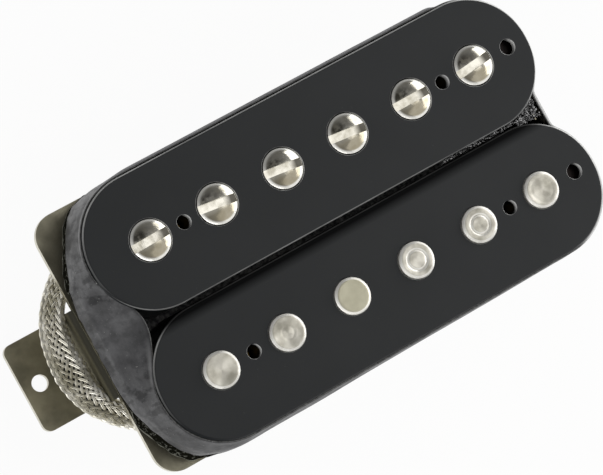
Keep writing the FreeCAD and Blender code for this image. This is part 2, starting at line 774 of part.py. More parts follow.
def rounded_path(points, share=None, radius=None):
    """Straight runs joined by tangent arcs, and the arcs' radii.

    Each arc's radius is share of the shorter run over the tangent of half the turn, or the
    radius given.
    """
    spots = [FreeCAD.Vector(*point) for point in points]
    edges = []
    radii = []
    start = spots[0]
    for before, corner, after in zip(spots, spots[1:], spots[2:]):
        arriving = (corner - before).normalize()
        leaving = (after - corner).normalize()
        turn = arriving.getAngle(leaving)
        bend = radius
        if bend is None:
            shorter = min((corner - before).Length, (after - corner).Length)
            bend = share * shorter / math.tan(turn / 2)
        reach = bend * math.tan(turn / 2)
        first = corner - arriving * reach
        last = corner + leaving * reach
        inward = (leaving - arriving).normalize()
        middle = corner + inward * (bend / math.cos(turn / 2) - bend)
        edges.append(Part.LineSegment(start, first).toShape())
        edges.append(Part.Arc(first, middle, last).toShape())
        radii.append(bend)
        start = last
    edges.append(Part.LineSegment(start, spots[-1]).toShape())
    return Part.Wire(edges), radii


def tube(path, diameter):
    """A round solid along a path, with its volume compared with section times length."""
    first = path.Edges[0]
    start = first.valueAt(first.FirstParameter)
    heading = first.tangentAt(first.FirstParameter)
    profile = Part.Wire(Part.Circle(start, heading, diameter / 2).toShape())
    solid = path.makePipeShell([profile], True, False)
    expected = math.pi * diameter**2 / 4 * path.Length
    print("tube volume over section times length", round(solid.Volume / expected, 4))
    return solid


def lead():
    """Free stretch of the braided lead."""
    path, radii = rounded_path(LEAD_ROUTE, share=ARC_SHARE)
    print("lead arc radii", [round(radius, 1) for radius in radii])
    print("lead free stretch length", round(path.Length, 1))
    return keep_shape("lead", tube(path, number("Sizes.lead_diameter")))


def coil_quarters():
    """Centre, radius and start angle of each quarter turn of the coil, spiralling inwards."""
    radius = number("Sizes.coil_start_radius")
    step = number("Sizes.coil_pitch / 4")
    straight = number("Sizes.lead_diameter")
    centre = FreeCAD.Vector(*LEAD_ROUTE[-1]) + FreeCAD.Vector(straight, radius, 0)
    angle = -math.pi / 2
    last = round(number("Sizes.coil_quarter_count")) - 1
    quarters = []
    for index in range(last + 1):
        if index == last:
            tuck = number("Sizes.coil_end_tuck")
            centre = centre + FreeCAD.Vector(math.cos(angle), math.sin(angle), 0) * tuck
            radius -= tuck
        quarters.append((centre, radius, angle))
        angle += math.pi / 2
        centre = centre + FreeCAD.Vector(math.cos(angle), math.sin(angle), 0) * step
        radius -= step
    return quarters


def coil_path():
    """The coil's centre line, with a straight stretch of one diameter at each end."""

    def spot(centre, radius, angle):
        return centre + FreeCAD.Vector(math.cos(angle), math.sin(angle), 0) * radius

    quarters = coil_quarters()
    start = FreeCAD.Vector(*LEAD_ROUTE[-1])
    edges = [Part.LineSegment(start, spot(*quarters[0])).toShape()]
    for centre, radius, angle in quarters:
        points = [spot(centre, radius, angle + part * math.pi / 4) for part in range(3)]
        edges.append(Part.Arc(*points).toShape())
    last = edges[-1]
    heading = last.tangentAt(last.LastParameter)
    end = last.valueAt(last.LastParameter)
    edges.append(Part.LineSegment(end, end + heading * number("Sizes.lead_diameter")).toShape())
    return Part.Wire(edges)


def least_gap(path, diameter):
    """The least gap between the coil's turns, measured on points along its centre line."""
    points = path.discretize(Distance=diameter * GAP_STEP_SHARE)
    skipped = math.ceil(NEIGHBOUR_SHARE / GAP_STEP_SHARE)
    gaps = []
    for index, point in enumerate(points):
        for other in points[index + skipped :]:
            gaps.append((other - point).Length - diameter)
    return min(gaps)


def lead_coil():
    """Rest of the lead, coiled flat below the baseplate."""
    path = coil_path()
    diameter = number("Sizes.lead_diameter")
    print("least gap of the coil to itself", round(least_gap(path, diameter), 2))
    print("lead coil length", round(path.Length, 1))
    return keep_shape("lead_coil", tube(path, diameter))


def lead_tie():
    """Band round the coil's two strands where they lie side by side."""
    centre, radius, _ = coil_quarters()[1]
    strand = centre + FreeCAD.Vector(radius, 0, 0)
    middle = strand - FreeCAD.Vector(number("Sizes.coil_pitch / 2"), 0, 0)
    body = new_body("lead_tie")
    body.Placement = FreeCAD.Placement(middle, FreeCAD.Rotation())
    sketch = new_sketch(body, "tie_outline", plane="XZ_Plane")
    for band in ("2 * Sizes.fit_gap", "2 * Sizes.fit_gap + 2 * Sizes.tie_thickness"):
        across = f"(Sizes.coil_pitch + Sizes.lead_diameter + {band})"
        high = f"(Sizes.lead_diameter + {band})"
        rounded_rectangle(sketch, across, high, f"({high} / 2 - Sizes.fit_gap)")
    pad(body, sketch, "Sizes.tie_width", both_ways=True)
    return body


def cylinder(body, name, radius, height):
    """A cylinder that rises from the body's origin."""
    feature = body.newObject("PartDesign::AdditiveCylinder", name)
    feature.setExpression("Radius", radius)
    feature.setExpression("Height", height)
    doc.recompute()
    return feature


def lead_end_conductor():
    """Insulated inner wire that sticks out of the braid's free end, with a bare tinned tip."""
    last = coil_path().Edges[-1]
    start = last.valueAt(last.LastParameter)
    heading = last.tangentAt(last.LastParameter)
    body = new_body("lead_end_conductor")
    body.Placement = FreeCAD.Placement(start, FreeCAD.Rotation(FreeCAD.Vector(0, 0, 1), heading))
    jacket = "Sizes.end_wire_length"
    cylinder(body, "end_jacket", "Sizes.end_wire_diameter / 2", jacket)
    cylinder(body, "end_strands", "Sizes.end_tip_diameter / 2", f"{jacket} + Sizes.end_tip_length")
    return body


def lead_start():
    """The lead's soldered end and its direction from there."""
    start, after = (FreeCAD.Vector(*point) for point in LEAD_ROUTE[:2])
    return start, (after - start).normalize()


def solder_joint():
    """Cap of solder below the baseplate, saddled over the braid."""
    start, heading = lead_start()
    below = number(PLATE_UNDERSIDE)
    middle = start + heading * number("Sizes.solder_setback")
    body = new_body("solder_joint")
    body.Placement = FreeCAD.Placement(FreeCAD.Vector(middle.x, middle.y, below), FreeCAD.Rotation())
    sketch = new_sketch(body, "solder_profile", plane="XZ_Plane")
    radius = "Sizes.solder_radius"
    deep = "Sizes.solder_depth"
    dome = f"({radius} ^ 2 + {deep} ^ 2) / (2 * {deep})"
    outline(sketch, [("0", "0"), (radius, "0"), ("0", f"-{deep}", "0", f"{dome} - {deep}", -1)])
    revolve(body, sketch)
    groove = body.newObject("PartDesign::SubtractiveCylinder", "braid_groove")
    groove.setExpression("Radius", "Sizes.lead_diameter / 2 + Sizes.fit_gap")
    groove.setExpression("Height", "4 * Sizes.solder_radius")
    first = middle - heading * number("2 * Sizes.solder_radius") - body.Placement.Base
    turned = FreeCAD.Rotation(FreeCAD.Vector(0, 0, 1), heading)
    groove.Placement = FreeCAD.Placement(first, turned)
    doc.recompute()
    return body


def core_wire_rise():
    """Where the lead's inner wire turns up through the baseplate."""
    start, heading = lead_start()
    return start - heading * number("2 * Sizes.core_wire_bend")


def wire(label, points, diameter, bend):
    """A thin insulated wire along points, with round bends."""
    path, _ = rounded_path(points, radius=number(bend))
    return keep_shape(label, tube(path, number(diameter)))


def lead_core_wire():
    """The lead's insulated inner wire, up through the plate and along it to the splice."""
    start, _ = lead_start()
    rise = core_wire_rise()
    level = number(WIRE_LEVEL)
    top = (rise.x, rise.y, level)
    points = [start, rise, top, (number("Sizes.splice_start"), rise.y, level)]
    return wire("lead_core_wire", points, "Sizes.core_wire_diameter", "Sizes.core_wire_bend")


def splice_sleeve():
    """Sleeve over the joint between the lead's inner wire and the screw coil's wire."""
    body = new_body("splice_sleeve", x="Sizes.splice_start", z=WIRE_LEVEL)
    body.Placement.Base.y = core_wire_rise().y
    body.Placement.Rotation = FreeCAD.Rotation(FreeCAD.Vector(0, 1, 0), 90)
    cylinder(body, "sleeve", "Sizes.splice_diameter / 2", "Sizes.splice_length")
    return body


def coil_lead_wire():
    """Wire from the splice to the screw coil, up through its bobbin's low flange."""
    level = number(WIRE_LEVEL)
    y = core_wire_rise().y
    hole_x = number(WIRE_HOLE_X)
    row_y = number(ROW_Y)
    points = [
        (number("Sizes.splice_start + Sizes.splice_length"), y, level),
        (hole_x, y, level),
        (hole_x, row_y, level),
        (hole_x, row_y, number(WINDING_LOW)),
    ]
    return wire("coil_lead_wire", points, "Sizes.coil_wire_diameter", "Sizes.coil_wire_bend")


def coil_link_wire():
    """Wire that joins the two coils in series, round the magnet's end."""
    level = number(WIRE_LEVEL)
    hole_x = number(WIRE_HOLE_X)
    row_y = number(ROW_Y)
    round_x = number("Sizes.magnet_length / 2 + Sizes.link_wire_clearance")
    second_y = row_y - number("Sizes.second_hole_offset")
    points = [
        (hole_x, -row_y, number(WINDING_LOW)),
        (hole_x, -row_y, level),
        (round_x, -row_y, level),
        (round_x, second_y, level),
        (hole_x, second_y, level),
        (hole_x, second_y, number(WINDING_LOW)),
    ]
    return wire("coil_link_wire", points, "Sizes.coil_wire_diameter", "Sizes.coil_wire_bend")


def build():
    """Makes every piece and returns the finished objects, each labelled with its name."""
    pieces = [baseplate(), magnet_bar(), keeper_bar(), spacer_bar()]
    sides = [
        ("screw", 1, "Sizes.screw_bobbin_height", POLE_SCREW_BORE, HEAD_SEAT_BORE),
        ("slug", -1, "Sizes.slug_bobbin_height", SLUG_BORE, ""),
    ]
    for name, side, height, bore, seat in sides:
        pieces.append(bobbin(f"{name}_bobbin", side, height, bore, seat))
        pieces.append(winding(f"{name}_coil_winding", side, height))
        pieces.append(coil_tape(f"{name}_coil_tape", side, height))
    pieces.append(outer_wrap())
    for index, x in enumerate(pole_places(), start=1):
        pieces.append(pole_screw(index, x))
        pieces.append(slug(index, x))
    for index, (x, y) in enumerate(FIXING_PLACES, start=1):
        pieces.append(fixing_screw(index, x, y))
    pieces += [solder_joint(), lead_core_wire(), splice_sleeve(), coil_lead_wire(), coil_link_wire()]
    pieces += [lead(), lead_coil(), lead_tie(), lead_end_conductor()]
    return pieces


def check(pieces):
    """Stops if anything in the document failed or a piece has no sound shape."""
    doc.recompute()
    for item in doc.Objects:
        if "Invalid" in item.State or "Error" in item.State:
            raise RuntimeError(f"{item.Name} failed: {item.State}")
    for piece in pieces:
        shape = piece.Shape
        if shape.isNull() or not shape.isValid() or not shape.Solids:
            raise RuntimeError(f"{piece.Label} has no sound shape")


pieces = build()
check(pieces)
os.makedirs("parts", exist_ok=True)
for piece in pieces:
    piece.Shape.exportStep(f"parts/{piece.Label}.step")
    print(piece.Label, len(piece.Shape.Solids), "solid", round(piece.Shape.Volume, 1), "mm3")
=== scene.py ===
import functools
import json
import math

import bmesh
import bpy
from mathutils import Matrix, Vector, noise

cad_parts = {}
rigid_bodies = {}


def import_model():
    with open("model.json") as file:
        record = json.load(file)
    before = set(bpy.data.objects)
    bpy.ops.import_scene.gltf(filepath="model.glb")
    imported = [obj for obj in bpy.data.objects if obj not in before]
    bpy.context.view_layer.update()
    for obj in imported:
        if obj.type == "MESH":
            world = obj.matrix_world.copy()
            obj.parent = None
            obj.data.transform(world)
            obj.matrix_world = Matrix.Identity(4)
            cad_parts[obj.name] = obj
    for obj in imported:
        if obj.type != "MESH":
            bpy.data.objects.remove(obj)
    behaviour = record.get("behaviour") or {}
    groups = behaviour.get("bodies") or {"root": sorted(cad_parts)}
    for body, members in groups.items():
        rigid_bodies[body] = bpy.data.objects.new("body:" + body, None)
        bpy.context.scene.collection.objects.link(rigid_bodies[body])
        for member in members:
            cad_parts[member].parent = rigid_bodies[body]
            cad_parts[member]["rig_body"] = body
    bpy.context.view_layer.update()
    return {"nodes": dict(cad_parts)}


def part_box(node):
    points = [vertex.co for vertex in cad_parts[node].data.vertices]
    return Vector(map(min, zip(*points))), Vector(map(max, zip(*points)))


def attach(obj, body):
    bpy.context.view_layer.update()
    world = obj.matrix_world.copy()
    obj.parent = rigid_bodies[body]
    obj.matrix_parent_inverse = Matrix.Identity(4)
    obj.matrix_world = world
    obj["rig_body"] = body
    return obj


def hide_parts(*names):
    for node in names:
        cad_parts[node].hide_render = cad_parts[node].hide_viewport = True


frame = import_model()

# Camera
# Stands nearly overhead, leaning towards the pickup's lead end, with its long side turned so
# that the strings' spread runs from lower left to upper right of the picture.
CAMERA_PLACE = (-0.1287, 0.0038, 0.3888)
CAMERA_TURNS = (8.766, -16.549, -30.083)
CAMERA_LENS = 179.66
CAMERA_SENSOR = 36.0
CAMERA_SHIFT = (-0.00199, 0.00083)
CAMERA_NEAR = 0.01

scene = bpy.context.scene
camera = bpy.data.objects.new("camera", bpy.data.cameras.new("camera"))
scene.collection.objects.link(camera)
scene.camera = camera
camera.location = CAMERA_PLACE
camera.rotation_euler = [math.radians(turn) for turn in CAMERA_TURNS]
camera.data.sensor_fit = "HORIZONTAL"
camera.data.sensor_width = CAMERA_SENSOR
camera.data.lens = CAMERA_LENS
camera.data.shift_x, camera.data.shift_y = CAMERA_SHIFT
camera.data.clip_start = CAMERA_NEAR

# Studio
# A white floor that still takes a light shadow, one large soft lamp past the far end, a weak one
# to the front, a narrow strip past the near end, a small one overhead, and a sky that is bright
# near the horizon for the metal's rims and darker on the +Y side.
FLOOR_HALF = 2.0
FLOOR_COLOUR = "#F4F4F2"
FLOOR_GLOW_SHARE = 0.94
SKY_LEVELS = ((0.0, 1.15), (0.12, 1.0), (0.35, 0.55), (0.75, 0.44), (1.0, 0.46))
NEAR_END_SHARE = 1.2
DARK_SIDE_SHARE = 0.4
LAMPS = {
    # name: (azimuth, elevation, distance, width, height, watts)
    "far end": (2.0, 26.0, 0.55, 0.72, 0.34, 1.7),
    "front": (-55.0, 45.0, 0.6, 0.5, 0.5, 0.3),
    "near rim": (-142.0, 22.0, 0.6, 0.9, 0.08, 0.68),
    "overhead": (-2.0, 67.5, 0.6, 0.28, 0.26, 0.19),
}


def add_node(tree, kind, *entries, **settings):
    """Adds one node and returns it.

    kind is its type without the family's name, then a space and its operation, if it has one.
    entries are the values of its sockets in their order, or one dict of them by name or number.
    settings are its own options.
    """
    kind, _, operation = kind.partition(" ")
    families = ("GeometryNode", "ShaderNode", "FunctionNode", "")
    family = next(family for family in families if hasattr(bpy.types, family + kind))
    made = tree.nodes.new(family + kind)
    if operation:
        made.operation = operation
    for name, value in settings.items():
        setattr(made, name, value)
    if entries:
        feed(made, entries[0] if isinstance(entries[0], dict) else dict(enumerate(entries)))
    return made


def feed(node, entries):
    """Gives a node's sockets plain values, or links from nodes, their outputs or a list of them."""
    for name, value in entries.items():
        if isinstance(name, int):
            entry = node.inputs[name]
        else:
            alike = [socket for socket in node.inputs if socket.name == name]
            entry = next((socket for socket in alike if socket.enabled), alike[0])
        for source in value if isinstance(value, list) else [value]:
            if isinstance(source, bpy.types.Node):
                source = next(socket for socket in source.outputs if socket.enabled)
            if isinstance(source, bpy.types.NodeSocket):
                node.id_data.links.new(source, entry)
            else:
                entry.default_value = source


def colour(code):
    """A colour written as sRGB hex, as the linear values that a shader takes."""
    parts = [int(code[start : start + 2], 16) / 255 for start in (1, 3, 5)]
    return (*[part / 12.92 if part < 0.04045 else ((part + 0.055) / 1.055) ** 2.4 for part in parts], 1.0)


def set_ramp(ramp, stops):
    """Gives a Color Ramp its stops, as pairs of place and sRGB hex colour or grey level."""
    elements = ramp.color_ramp.elements
    elements[0].position, elements[1].position = stops[0][0], stops[-1][0]
    for place, _ in stops[1:-1]:
        elements.new(place)
    for stop, (_, value) in zip(elements, stops):
        stop.color = colour(value) if isinstance(value, str) else (value, value, value, 1.0)


scene.view_settings.view_transform = "Standard"

scene.world = bpy.data.worlds.new("studio sky")
scene.world.use_nodes = True
sky = scene.world.node_tree
add = functools.partial(add_node, sky)
x, y, z = add("SeparateXYZ", add("TexCoord").outputs["Generated"]).outputs
level = add("ValToRGB", z)
set_ramp(level, SKY_LEVELS)
side = add("MapRange", y, 0.1, 0.6, 1.0, DARK_SIDE_SHARE)
near = add("MapRange", x, -0.9, 0.1, NEAR_END_SHARE, 1.0)
side = add("Math MULTIPLY", side, near)
feed(sky.nodes["Background"], {"Color": level, "Strength": side})

paper = bpy.data.materials.new("white studio paper")
paper.use_nodes = True
paper.node_tree.nodes.clear()
add = functools.partial(add_node, paper.node_tree)
matte = add("BsdfDiffuse", {"Color": colour(FLOOR_COLOUR)})
glow = add("Emission", {"Color": colour("#FFFFFF"), "Strength": 1.0})
ray = add("LightPath").outputs
seen = ray["Is Camera Ray"]
for kind in ("Is Glossy Ray", "Is Transmission Ray"):
    seen = add("Math MAXIMUM", seen, ray[kind])
share = add("Math MULTIPLY", seen, FLOOR_GLOW_SHARE)
add("OutputMaterial", {"Surface": add("MixShader", share, matte, glow)})

floor_mesh = bpy.data.meshes.new("floor")
floor_corners = [(-1, -1), (1, -1), (1, 1), (-1, 1)]
floor_mesh.from_pydata([(x * FLOOR_HALF, y * FLOOR_HALF, 0) for x, y in floor_corners], [], [(0, 1, 2, 3)])
floor_mesh.materials.append(paper)
floor = bpy.data.objects.new("floor", floor_mesh)
scene.collection.objects.link(floor)

for name, (azimuth, elevation, distance, width, tall, watts) in LAMPS.items():
    lamp = bpy.data.lights.new(name, "AREA")
    lamp.shape = "RECTANGLE"
    lamp.size, lamp.size_y, lamp.energy = width, tall, watts
    turn, rise = math.radians(azimuth), math.radians(elevation)
    level_part = math.cos(rise)
    towards = Vector((math.cos(turn) * level_part, math.sin(turn) * level_part, math.sin(rise)))
    holder = bpy.data.objects.new(name, lamp)
    holder.location = towards * distance
    holder.rotation_euler = towards.to_track_quat("Z", "Y").to_euler()
    scene.collection.objects.link(holder)

# Braided lead
# A stranded wire in a cloth cover, inside a shield braided from tinned copper wires. It is
# soldered below the baseplate, bends out past one leg and back, and its rest lies in a tied coil.
MM = 0.001
LEAD_ROUTE = [
    (-9.0, 14.3, 12.65),
    (-17.5, 14.9, 12.6),
    (-26.0, 14.2, 12.5),
    (-32.9, 11.0, 12.35),
    (-37.1, 6.6, 12.3),
    (-38.0, 0.3, 12.2),
    (-37.1, -5.7, 12.0),
    (-32.8, -10.2, 11.3),
    (-26.4, -13.9, 8.9),
    (-18.9, -16.5, 5.4),
    (-11.0, -17.9, 2.9),
    (-3.6, -18.35, 2.05),
    (3.0, -18.35, 2.05),
]
COIL_QUARTERS = [
    # centre x, centre y, radius, start angle in degrees
    (6.2, 0.15, 18.5, -90),
    (7.15, 0.15, 17.55, 0),
    (7.15, 1.1, 16.6, 90),
    (6.2, 1.1, 15.65, 180),
    (6.2, 0.15, 14.7, 270),
    (10.15, 0.15, 10.75, 360),
]
COIL_LEVEL = 2.05
COIL_END = (6.95, 10.9, COIL_LEVEL)
QUARTER_POINTS = 3
LEAD_LENGTH = 241.0
FREE_LENGTH = 87.5
# How wide the braid is pressed flat, as shares of its round width, by distance along it.
FLAT_STATIONS = ((26.0, 1.0), (29.0, 1.0), (33.0, 1.26), (38.0, 1.5), (44.5, 1.1), (49.0, 1.0))
FLAT_HEIGHT_POWER = -0.85
COVER_RADIUS = 1.25
COVER_SIDES = 20
CARRIERS = 16
BRAID_LAY = 18.1
BRAID_RADIUS = 1.42
BRAID_WEAVE = 0.12
BRAID_STEP = 0.3
STRIP_WIRES = 2
STRIP_WIRE_DIAMETER = 0.18


def new_finish(name):
    """A material, what adds nodes to it, its shader and the object's coordinates in metres."""
    finish = bpy.data.materials.new(name)
    finish.use_nodes = True
    add = functools.partial(add_node, finish.node_tree)
    place = add("TexCoord").outputs["Object"]
    return finish, add, finish.node_tree.nodes["Principled BSDF"], place


def pattern(place, size, **others):
    """A texture's entries for a pattern of that size in millimetres."""
    return {"Vector": place, "Scale": 1 / (size * MM), **others}


def mottled(name, *tints, grain, detail, roughness, relief=None, metallic=0.0, stretch=None):
    """A finish whose colour goes from tint to tint with a noise of that grain in millimetres.

    A pair of roughnesses goes with the same noise. relief gives how strongly, and how many
    millimetres deep, the noise also stands out. stretch draws it out along an axis.
    """
    finish, add, shader, place = new_finish(name)
    if stretch:
        place = add("Mapping", {"Vector": place, "Scale": stretch})
    cloud = add("TexNoise", pattern(place, grain, Detail=detail))
    tint = add("ValToRGB", cloud)
    set_ramp(tint, tints)
    if isinstance(roughness, tuple):
        roughness = add("MapRange", cloud, 0.3, 0.7, *roughness)
    feed(shader, {"Base Color": tint, "Roughness": roughness, "Metallic": metallic})
    if relief:
        strength, depth = relief
        bump = add("Bump", {"Height": cloud, "Strength": strength, "Distance": depth * MM})
        feed(shader, {"Normal": bump})
    return finish


def new_tree(name, floats, others):
    """A Geometry Nodes tree, what adds nodes to it, and its named inputs, a finish among them."""
    tree = bpy.data.node_groups.new(name, "GeometryNodeTree")
    kinds = {"Geometry": "Geometry", **dict.fromkeys(floats, "Float"), **others, "Finish": "Material"}
    for size, kind in kinds.items():
        tree.interface.new_socket(size, in_out="INPUT", socket_type="NodeSocket" + kind)
    tree.interface.new_socket("Geometry", in_out="OUTPUT", socket_type="NodeSocketGeometry")
    add = functools.partial(add_node, tree)
    return tree, add, add("NodeGroupInput").outputs


def end_tree(add, shape, sizes):
    """Ends a tree with one plain mesh in the finish that it was given."""
    plain = add("RealizeInstances", {"Geometry": shape})
    done = add("SetMaterial", {"Geometry": plain, "Material": sizes["Finish"]})
    add("NodeGroupOutput", {"Geometry": done})


def grow(name, tree, values, start=None, crease=35.0):
    """A piece made by a node tree from a starting mesh, kept as a plain mesh."""
    piece = bpy.data.objects.new(name, start or bpy.data.meshes.new(name))
    scene.collection.objects.link(piece)
    modifier = piece.modifiers.new(tree.name, "NODES")
    modifier.node_group = tree
    for item in tree.interface.items_tree:
        if item.in_out == "INPUT" and item.name in values:
            modifier[item.identifier] = values[item.name]
    bpy.context.view_layer.update()
    made = piece.evaluated_get(bpy.context.evaluated_depsgraph_get())
    mesh = bpy.data.meshes.new_from_object(made)
    piece.modifiers.remove(modifier)
    piece.data = mesh
    mesh.name = name
    mesh.shade_smooth()
    mesh.set_sharp_from_angle(angle=math.radians(crease))
    return piece


def keep(name, built, finish, crease=35.0):
    """An object from a finished bmesh, smooth but for the edges sharper than crease."""
    mesh = bpy.data.meshes.new(name)
    built.to_mesh(mesh)
    built.free()
    mesh.materials.append(finish)
    mesh.shade_smooth()
    mesh.set_sharp_from_angle(angle=math.radians(crease))
    piece = bpy.data.objects.new(name, mesh)
    scene.collection.objects.link(piece)
    return piece


def metres(point):
    return tuple(part * MM for part in point)


def between(value, places, levels):
    """The level at a value, on straight lines between the places given."""
    if value <= places[0]:
        return levels[0]
    for index in range(1, len(places)):
        if value < places[index]:
            part = (value - places[index - 1]) / (places[index] - places[index - 1])
            return levels[index - 1] + part * (levels[index] - levels[index - 1])
    return levels[-1]


# Tinned copper: soft grey, slightly warm where the tin is thin, duller in the hollows.
tinned_braid = mottled(
    "tinned copper braid", (0.4, "#CFCBBB"), (0.65, "#FBF8EE"),
    grain=2.5, detail=4.0, roughness=0.3, metallic=0.85,
)
# Woven cotton cover over the stranded wire: matt, painted near black as the shade in the braid's gaps.
shaded_cotton_cover = mottled(
    "woven cotton cover", (0.3, "#0B0A09"), (0.7, "#141210"),
    grain=0.3, detail=2.0, roughness=0.9, relief=(0.6, 0.1),
)

lead_points = list(LEAD_ROUTE)
step = math.pi / 2 / QUARTER_POINTS
for centre_x, centre_y, radius, start in COIL_QUARTERS:
    for index in range(QUARTER_POINTS):
        angle = math.radians(start) + (index + 0.5) * step
        reach = radius / math.cos(step / 2)
        x, y = centre_x + reach * math.cos(angle), centre_y + reach * math.sin(angle)
        lead_points.append((x, y, COIL_LEVEL))
lead_points.append(COIL_END)

lead_curve = bpy.data.curves.new("braided_lead", "CURVE")
lead_curve.dimensions = "3D"
lead_curve.resolution_u = 12
spline = lead_curve.splines.new("NURBS")
spline.points.add(len(lead_points) - 1)
for control, point in zip(spline.points, lead_points):
    control.co = (*metres(point), 1.0)
spline.order_u = 3
spline.use_endpoint_u = True
lead_spline = bpy.data.objects.new("lead_spline", lead_curve)
scene.collection.objects.link(lead_spline)
bpy.context.view_layer.update()
lead_line = bpy.data.meshes.new_from_object(lead_spline)
bpy.data.objects.remove(lead_spline)

# The line carries how wide and how high the braid is there, and the cover is a tube round it.
spots = [vertex.co.copy() for vertex in lead_line.vertices]
distances = [0.0]
for before, after in zip(spots, spots[1:]):
    distances.append(distances[-1] + (after - before).length)
stations, widths = zip(*FLAT_STATIONS)
wide_shares = [between(distance / MM, stations, widths) for distance in distances]
high_shares = [share**FLAT_HEIGHT_POWER for share in wide_shares]
for name, shares in (("wide", wide_shares), ("high", high_shares)):
    lead_line.attributes.new(name, "FLOAT", "POINT").data.foreach_set("value", shares)

cover_mesh = bmesh.new()
rings = []
for index, spot in enumerate(spots):
    ahead = (spots[min(index + 1, len(spots) - 1)] - spots[max(index - 1, 0)]).normalized()
    across = Vector((ahead.y, -ahead.x, 0.0)).normalized()
    upward = ahead.cross(across)
    ring = []
    for side in range(COVER_SIDES):
        angle = side / COVER_SIDES * math.tau
        out = across * math.cos(angle) * wide_shares[index] + upward * math.sin(angle) * high_shares[index]
        ring.append(cover_mesh.verts.new(spot + out * COVER_RADIUS * MM))
    rings.append(ring)
for ring, after in zip(rings, rings[1:]):
    for side in range(COVER_SIDES):
        beside = (side + 1) % COVER_SIDES
        cover_mesh.faces.new((ring[side], ring[beside], after[beside], after[side]))
for ring in (rings[0], rings[-1]):
    cover_mesh.faces.new(ring)
bmesh.ops.recalc_face_normals(cover_mesh, faces=cover_mesh.faces[:])
lead_cover = keep("lead_cover", cover_mesh, shaded_cotton_cover)

# One carrier's flat strip of wires side by side: thickness along X, width along Y.
strip_curve = bpy.data.curves.new("carrier_strip", "CURVE")
wire_half = STRIP_WIRE_DIAMETER / 2
strip_half = STRIP_WIRES * wire_half
strip_outline = [(-wire_half, strip_half), (-wire_half, -strip_half)]
for index in range(2 * STRIP_WIRES + 1):
    strip_outline.append((wire_half if index % 2 else 0.0, -strip_half + index * wire_half))
spline = strip_curve.splines.new("POLY")
spline.points.add(len(strip_outline) - 1)
for control, (x, y) in zip(spline.points, strip_outline):
    control.co = (x * MM, y * MM, 0.0, 1.0)
spline.use_cyclic_u = True
carrier_strip = bpy.data.objects.new("carrier_strip", strip_curve)
scene.collection.objects.link(carrier_strip)

# Tree: the path is doubled once for each carrier, and each copy winds round it, one half each
# way, over two and under two of the others.
braid_tree, add, sizes = new_tree(
    "braid over a path",
    ("Lay", "Middle Radius", "Weave Height", "Step", "From", "To"),
    {"Carriers Each Way": "Int", "Strip": "Object"},
)
each_way = sizes["Carriers Each Way"]
path = add("MeshToCurve", sizes["Geometry"])
path = add("TrimCurve", {"Curve": path, 4: sizes["From"], 5: sizes["To"]}, mode="LENGTH")
path = add("ResampleCurve", {"Curve": path, "Length": sizes["Step"]}, mode="LENGTH")
path = add("SetCurveNormal", {"Curve": path}, mode="Z_UP")
both = add("Math MULTIPLY", each_way, 2.0)
copies = add("DuplicateElements", {"Geometry": path, "Amount": both}, domain="SPLINE")
number = copies.outputs["Duplicate Index"]
along = add("SplineParameter").outputs["Length"]
along = add("Math ADD", along, sizes["From"])
back = add("Math LESS_THAN", number, each_way)
way = add("Math MULTIPLY_ADD", back, 2.0, -1.0)
berth = add("Math MODULO", number, each_way)
spacing = add("Math DIVIDE", math.tau, each_way)
turns = add("Math DIVIDE", along, sizes["Lay"])
wound = add("Math MULTIPLY", turns, math.tau)
wound = add("Math MULTIPLY", wound, way)
angle = add("Math MULTIPLY_ADD", berth, spacing, wound)
# Crossings passed so far; a quarter turn of the weave for each, and half a turn for each berth.
passed = add("Math MULTIPLY", turns, each_way)
phase = add("Math MULTIPLY_ADD", passed, way, berth)
phase = add("Math MULTIPLY_ADD", phase, math.pi, -math.pi / 4)
lift = add("Math MULTIPLY", add("Math COSINE", phase), way)
radius = add("Math MULTIPLY_ADD", lift, sizes["Weave Height"], sizes["Middle Radius"])
wide = add("InputNamedAttribute", {"Name": "wide"}, data_type="FLOAT")
high = add("InputNamedAttribute", {"Name": "high"}, data_type="FLOAT")
across = add("InputNormal")
upward = add("VectorMath CROSS_PRODUCT", add("InputTangent"), across)
cosine = add("Math COSINE", angle)
sine = add("Math SINE", angle)
# The spoke from the path to the carrier, and the way that its strip faces on a flattened braid.
spokes = []
for share_across, share_upward in ((wide, high), (high, wide)):
    parts = []
    for axis, part, share in ((across, cosine, share_across), (upward, sine, share_upward)):
        part = add("Math MULTIPLY", part, share)
        parts.append(add("VectorMath SCALE", {0: axis, 3: part}))
    spokes.append(add("VectorMath ADD", *parts))
shift = add("VectorMath SCALE", {0: spokes[0], 3: radius})
kept = {"Geometry": copies.outputs["Geometry"], "Name": "facing", "Value": spokes[1]}
kept = add("StoreNamedAttribute", kept, data_type="FLOAT_VECTOR")
moved = add("SetPosition", {"Geometry": kept, "Offset": shift})
facing = add("InputNamedAttribute", {"Name": "facing"}, data_type="FLOAT_VECTOR")
faced = add("SetCurveNormal", {"Curve": moved, "Normal": facing}, mode="FREE")
strip = add("ObjectInfo", {"Object": sizes["Strip"]}).outputs["Geometry"]
swept = add("CurveToMesh", {"Curve": faced, "Profile Curve": strip, "Fill Caps": True})
end_tree(add, swept, sizes)

COIL_MIDDLE = (FREE_LENGTH + LEAD_LENGTH) / 2
for name, first, last in (
    ("lead_braid", 0.0, FREE_LENGTH),
    ("coil_braid_outer", FREE_LENGTH, COIL_MIDDLE),
    ("coil_braid_inner", COIL_MIDDLE, LEAD_LENGTH),
):
    values = {
        "Carriers Each Way": CARRIERS,
        "Lay": BRAID_LAY * MM,
        "Middle Radius": BRAID_RADIUS * MM,
        "Weave Height": BRAID_WEAVE * MM,
        "Step": BRAID_STEP * MM,
        "From": first * MM,
        "To": last * MM,
        "Strip": carrier_strip,
        "Finish": tinned_braid,
    }
    braid = grow(name, braid_tree, values, start=lead_line.copy())
    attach(braid, "pickup")
bpy.data.objects.remove(carrier_strip)

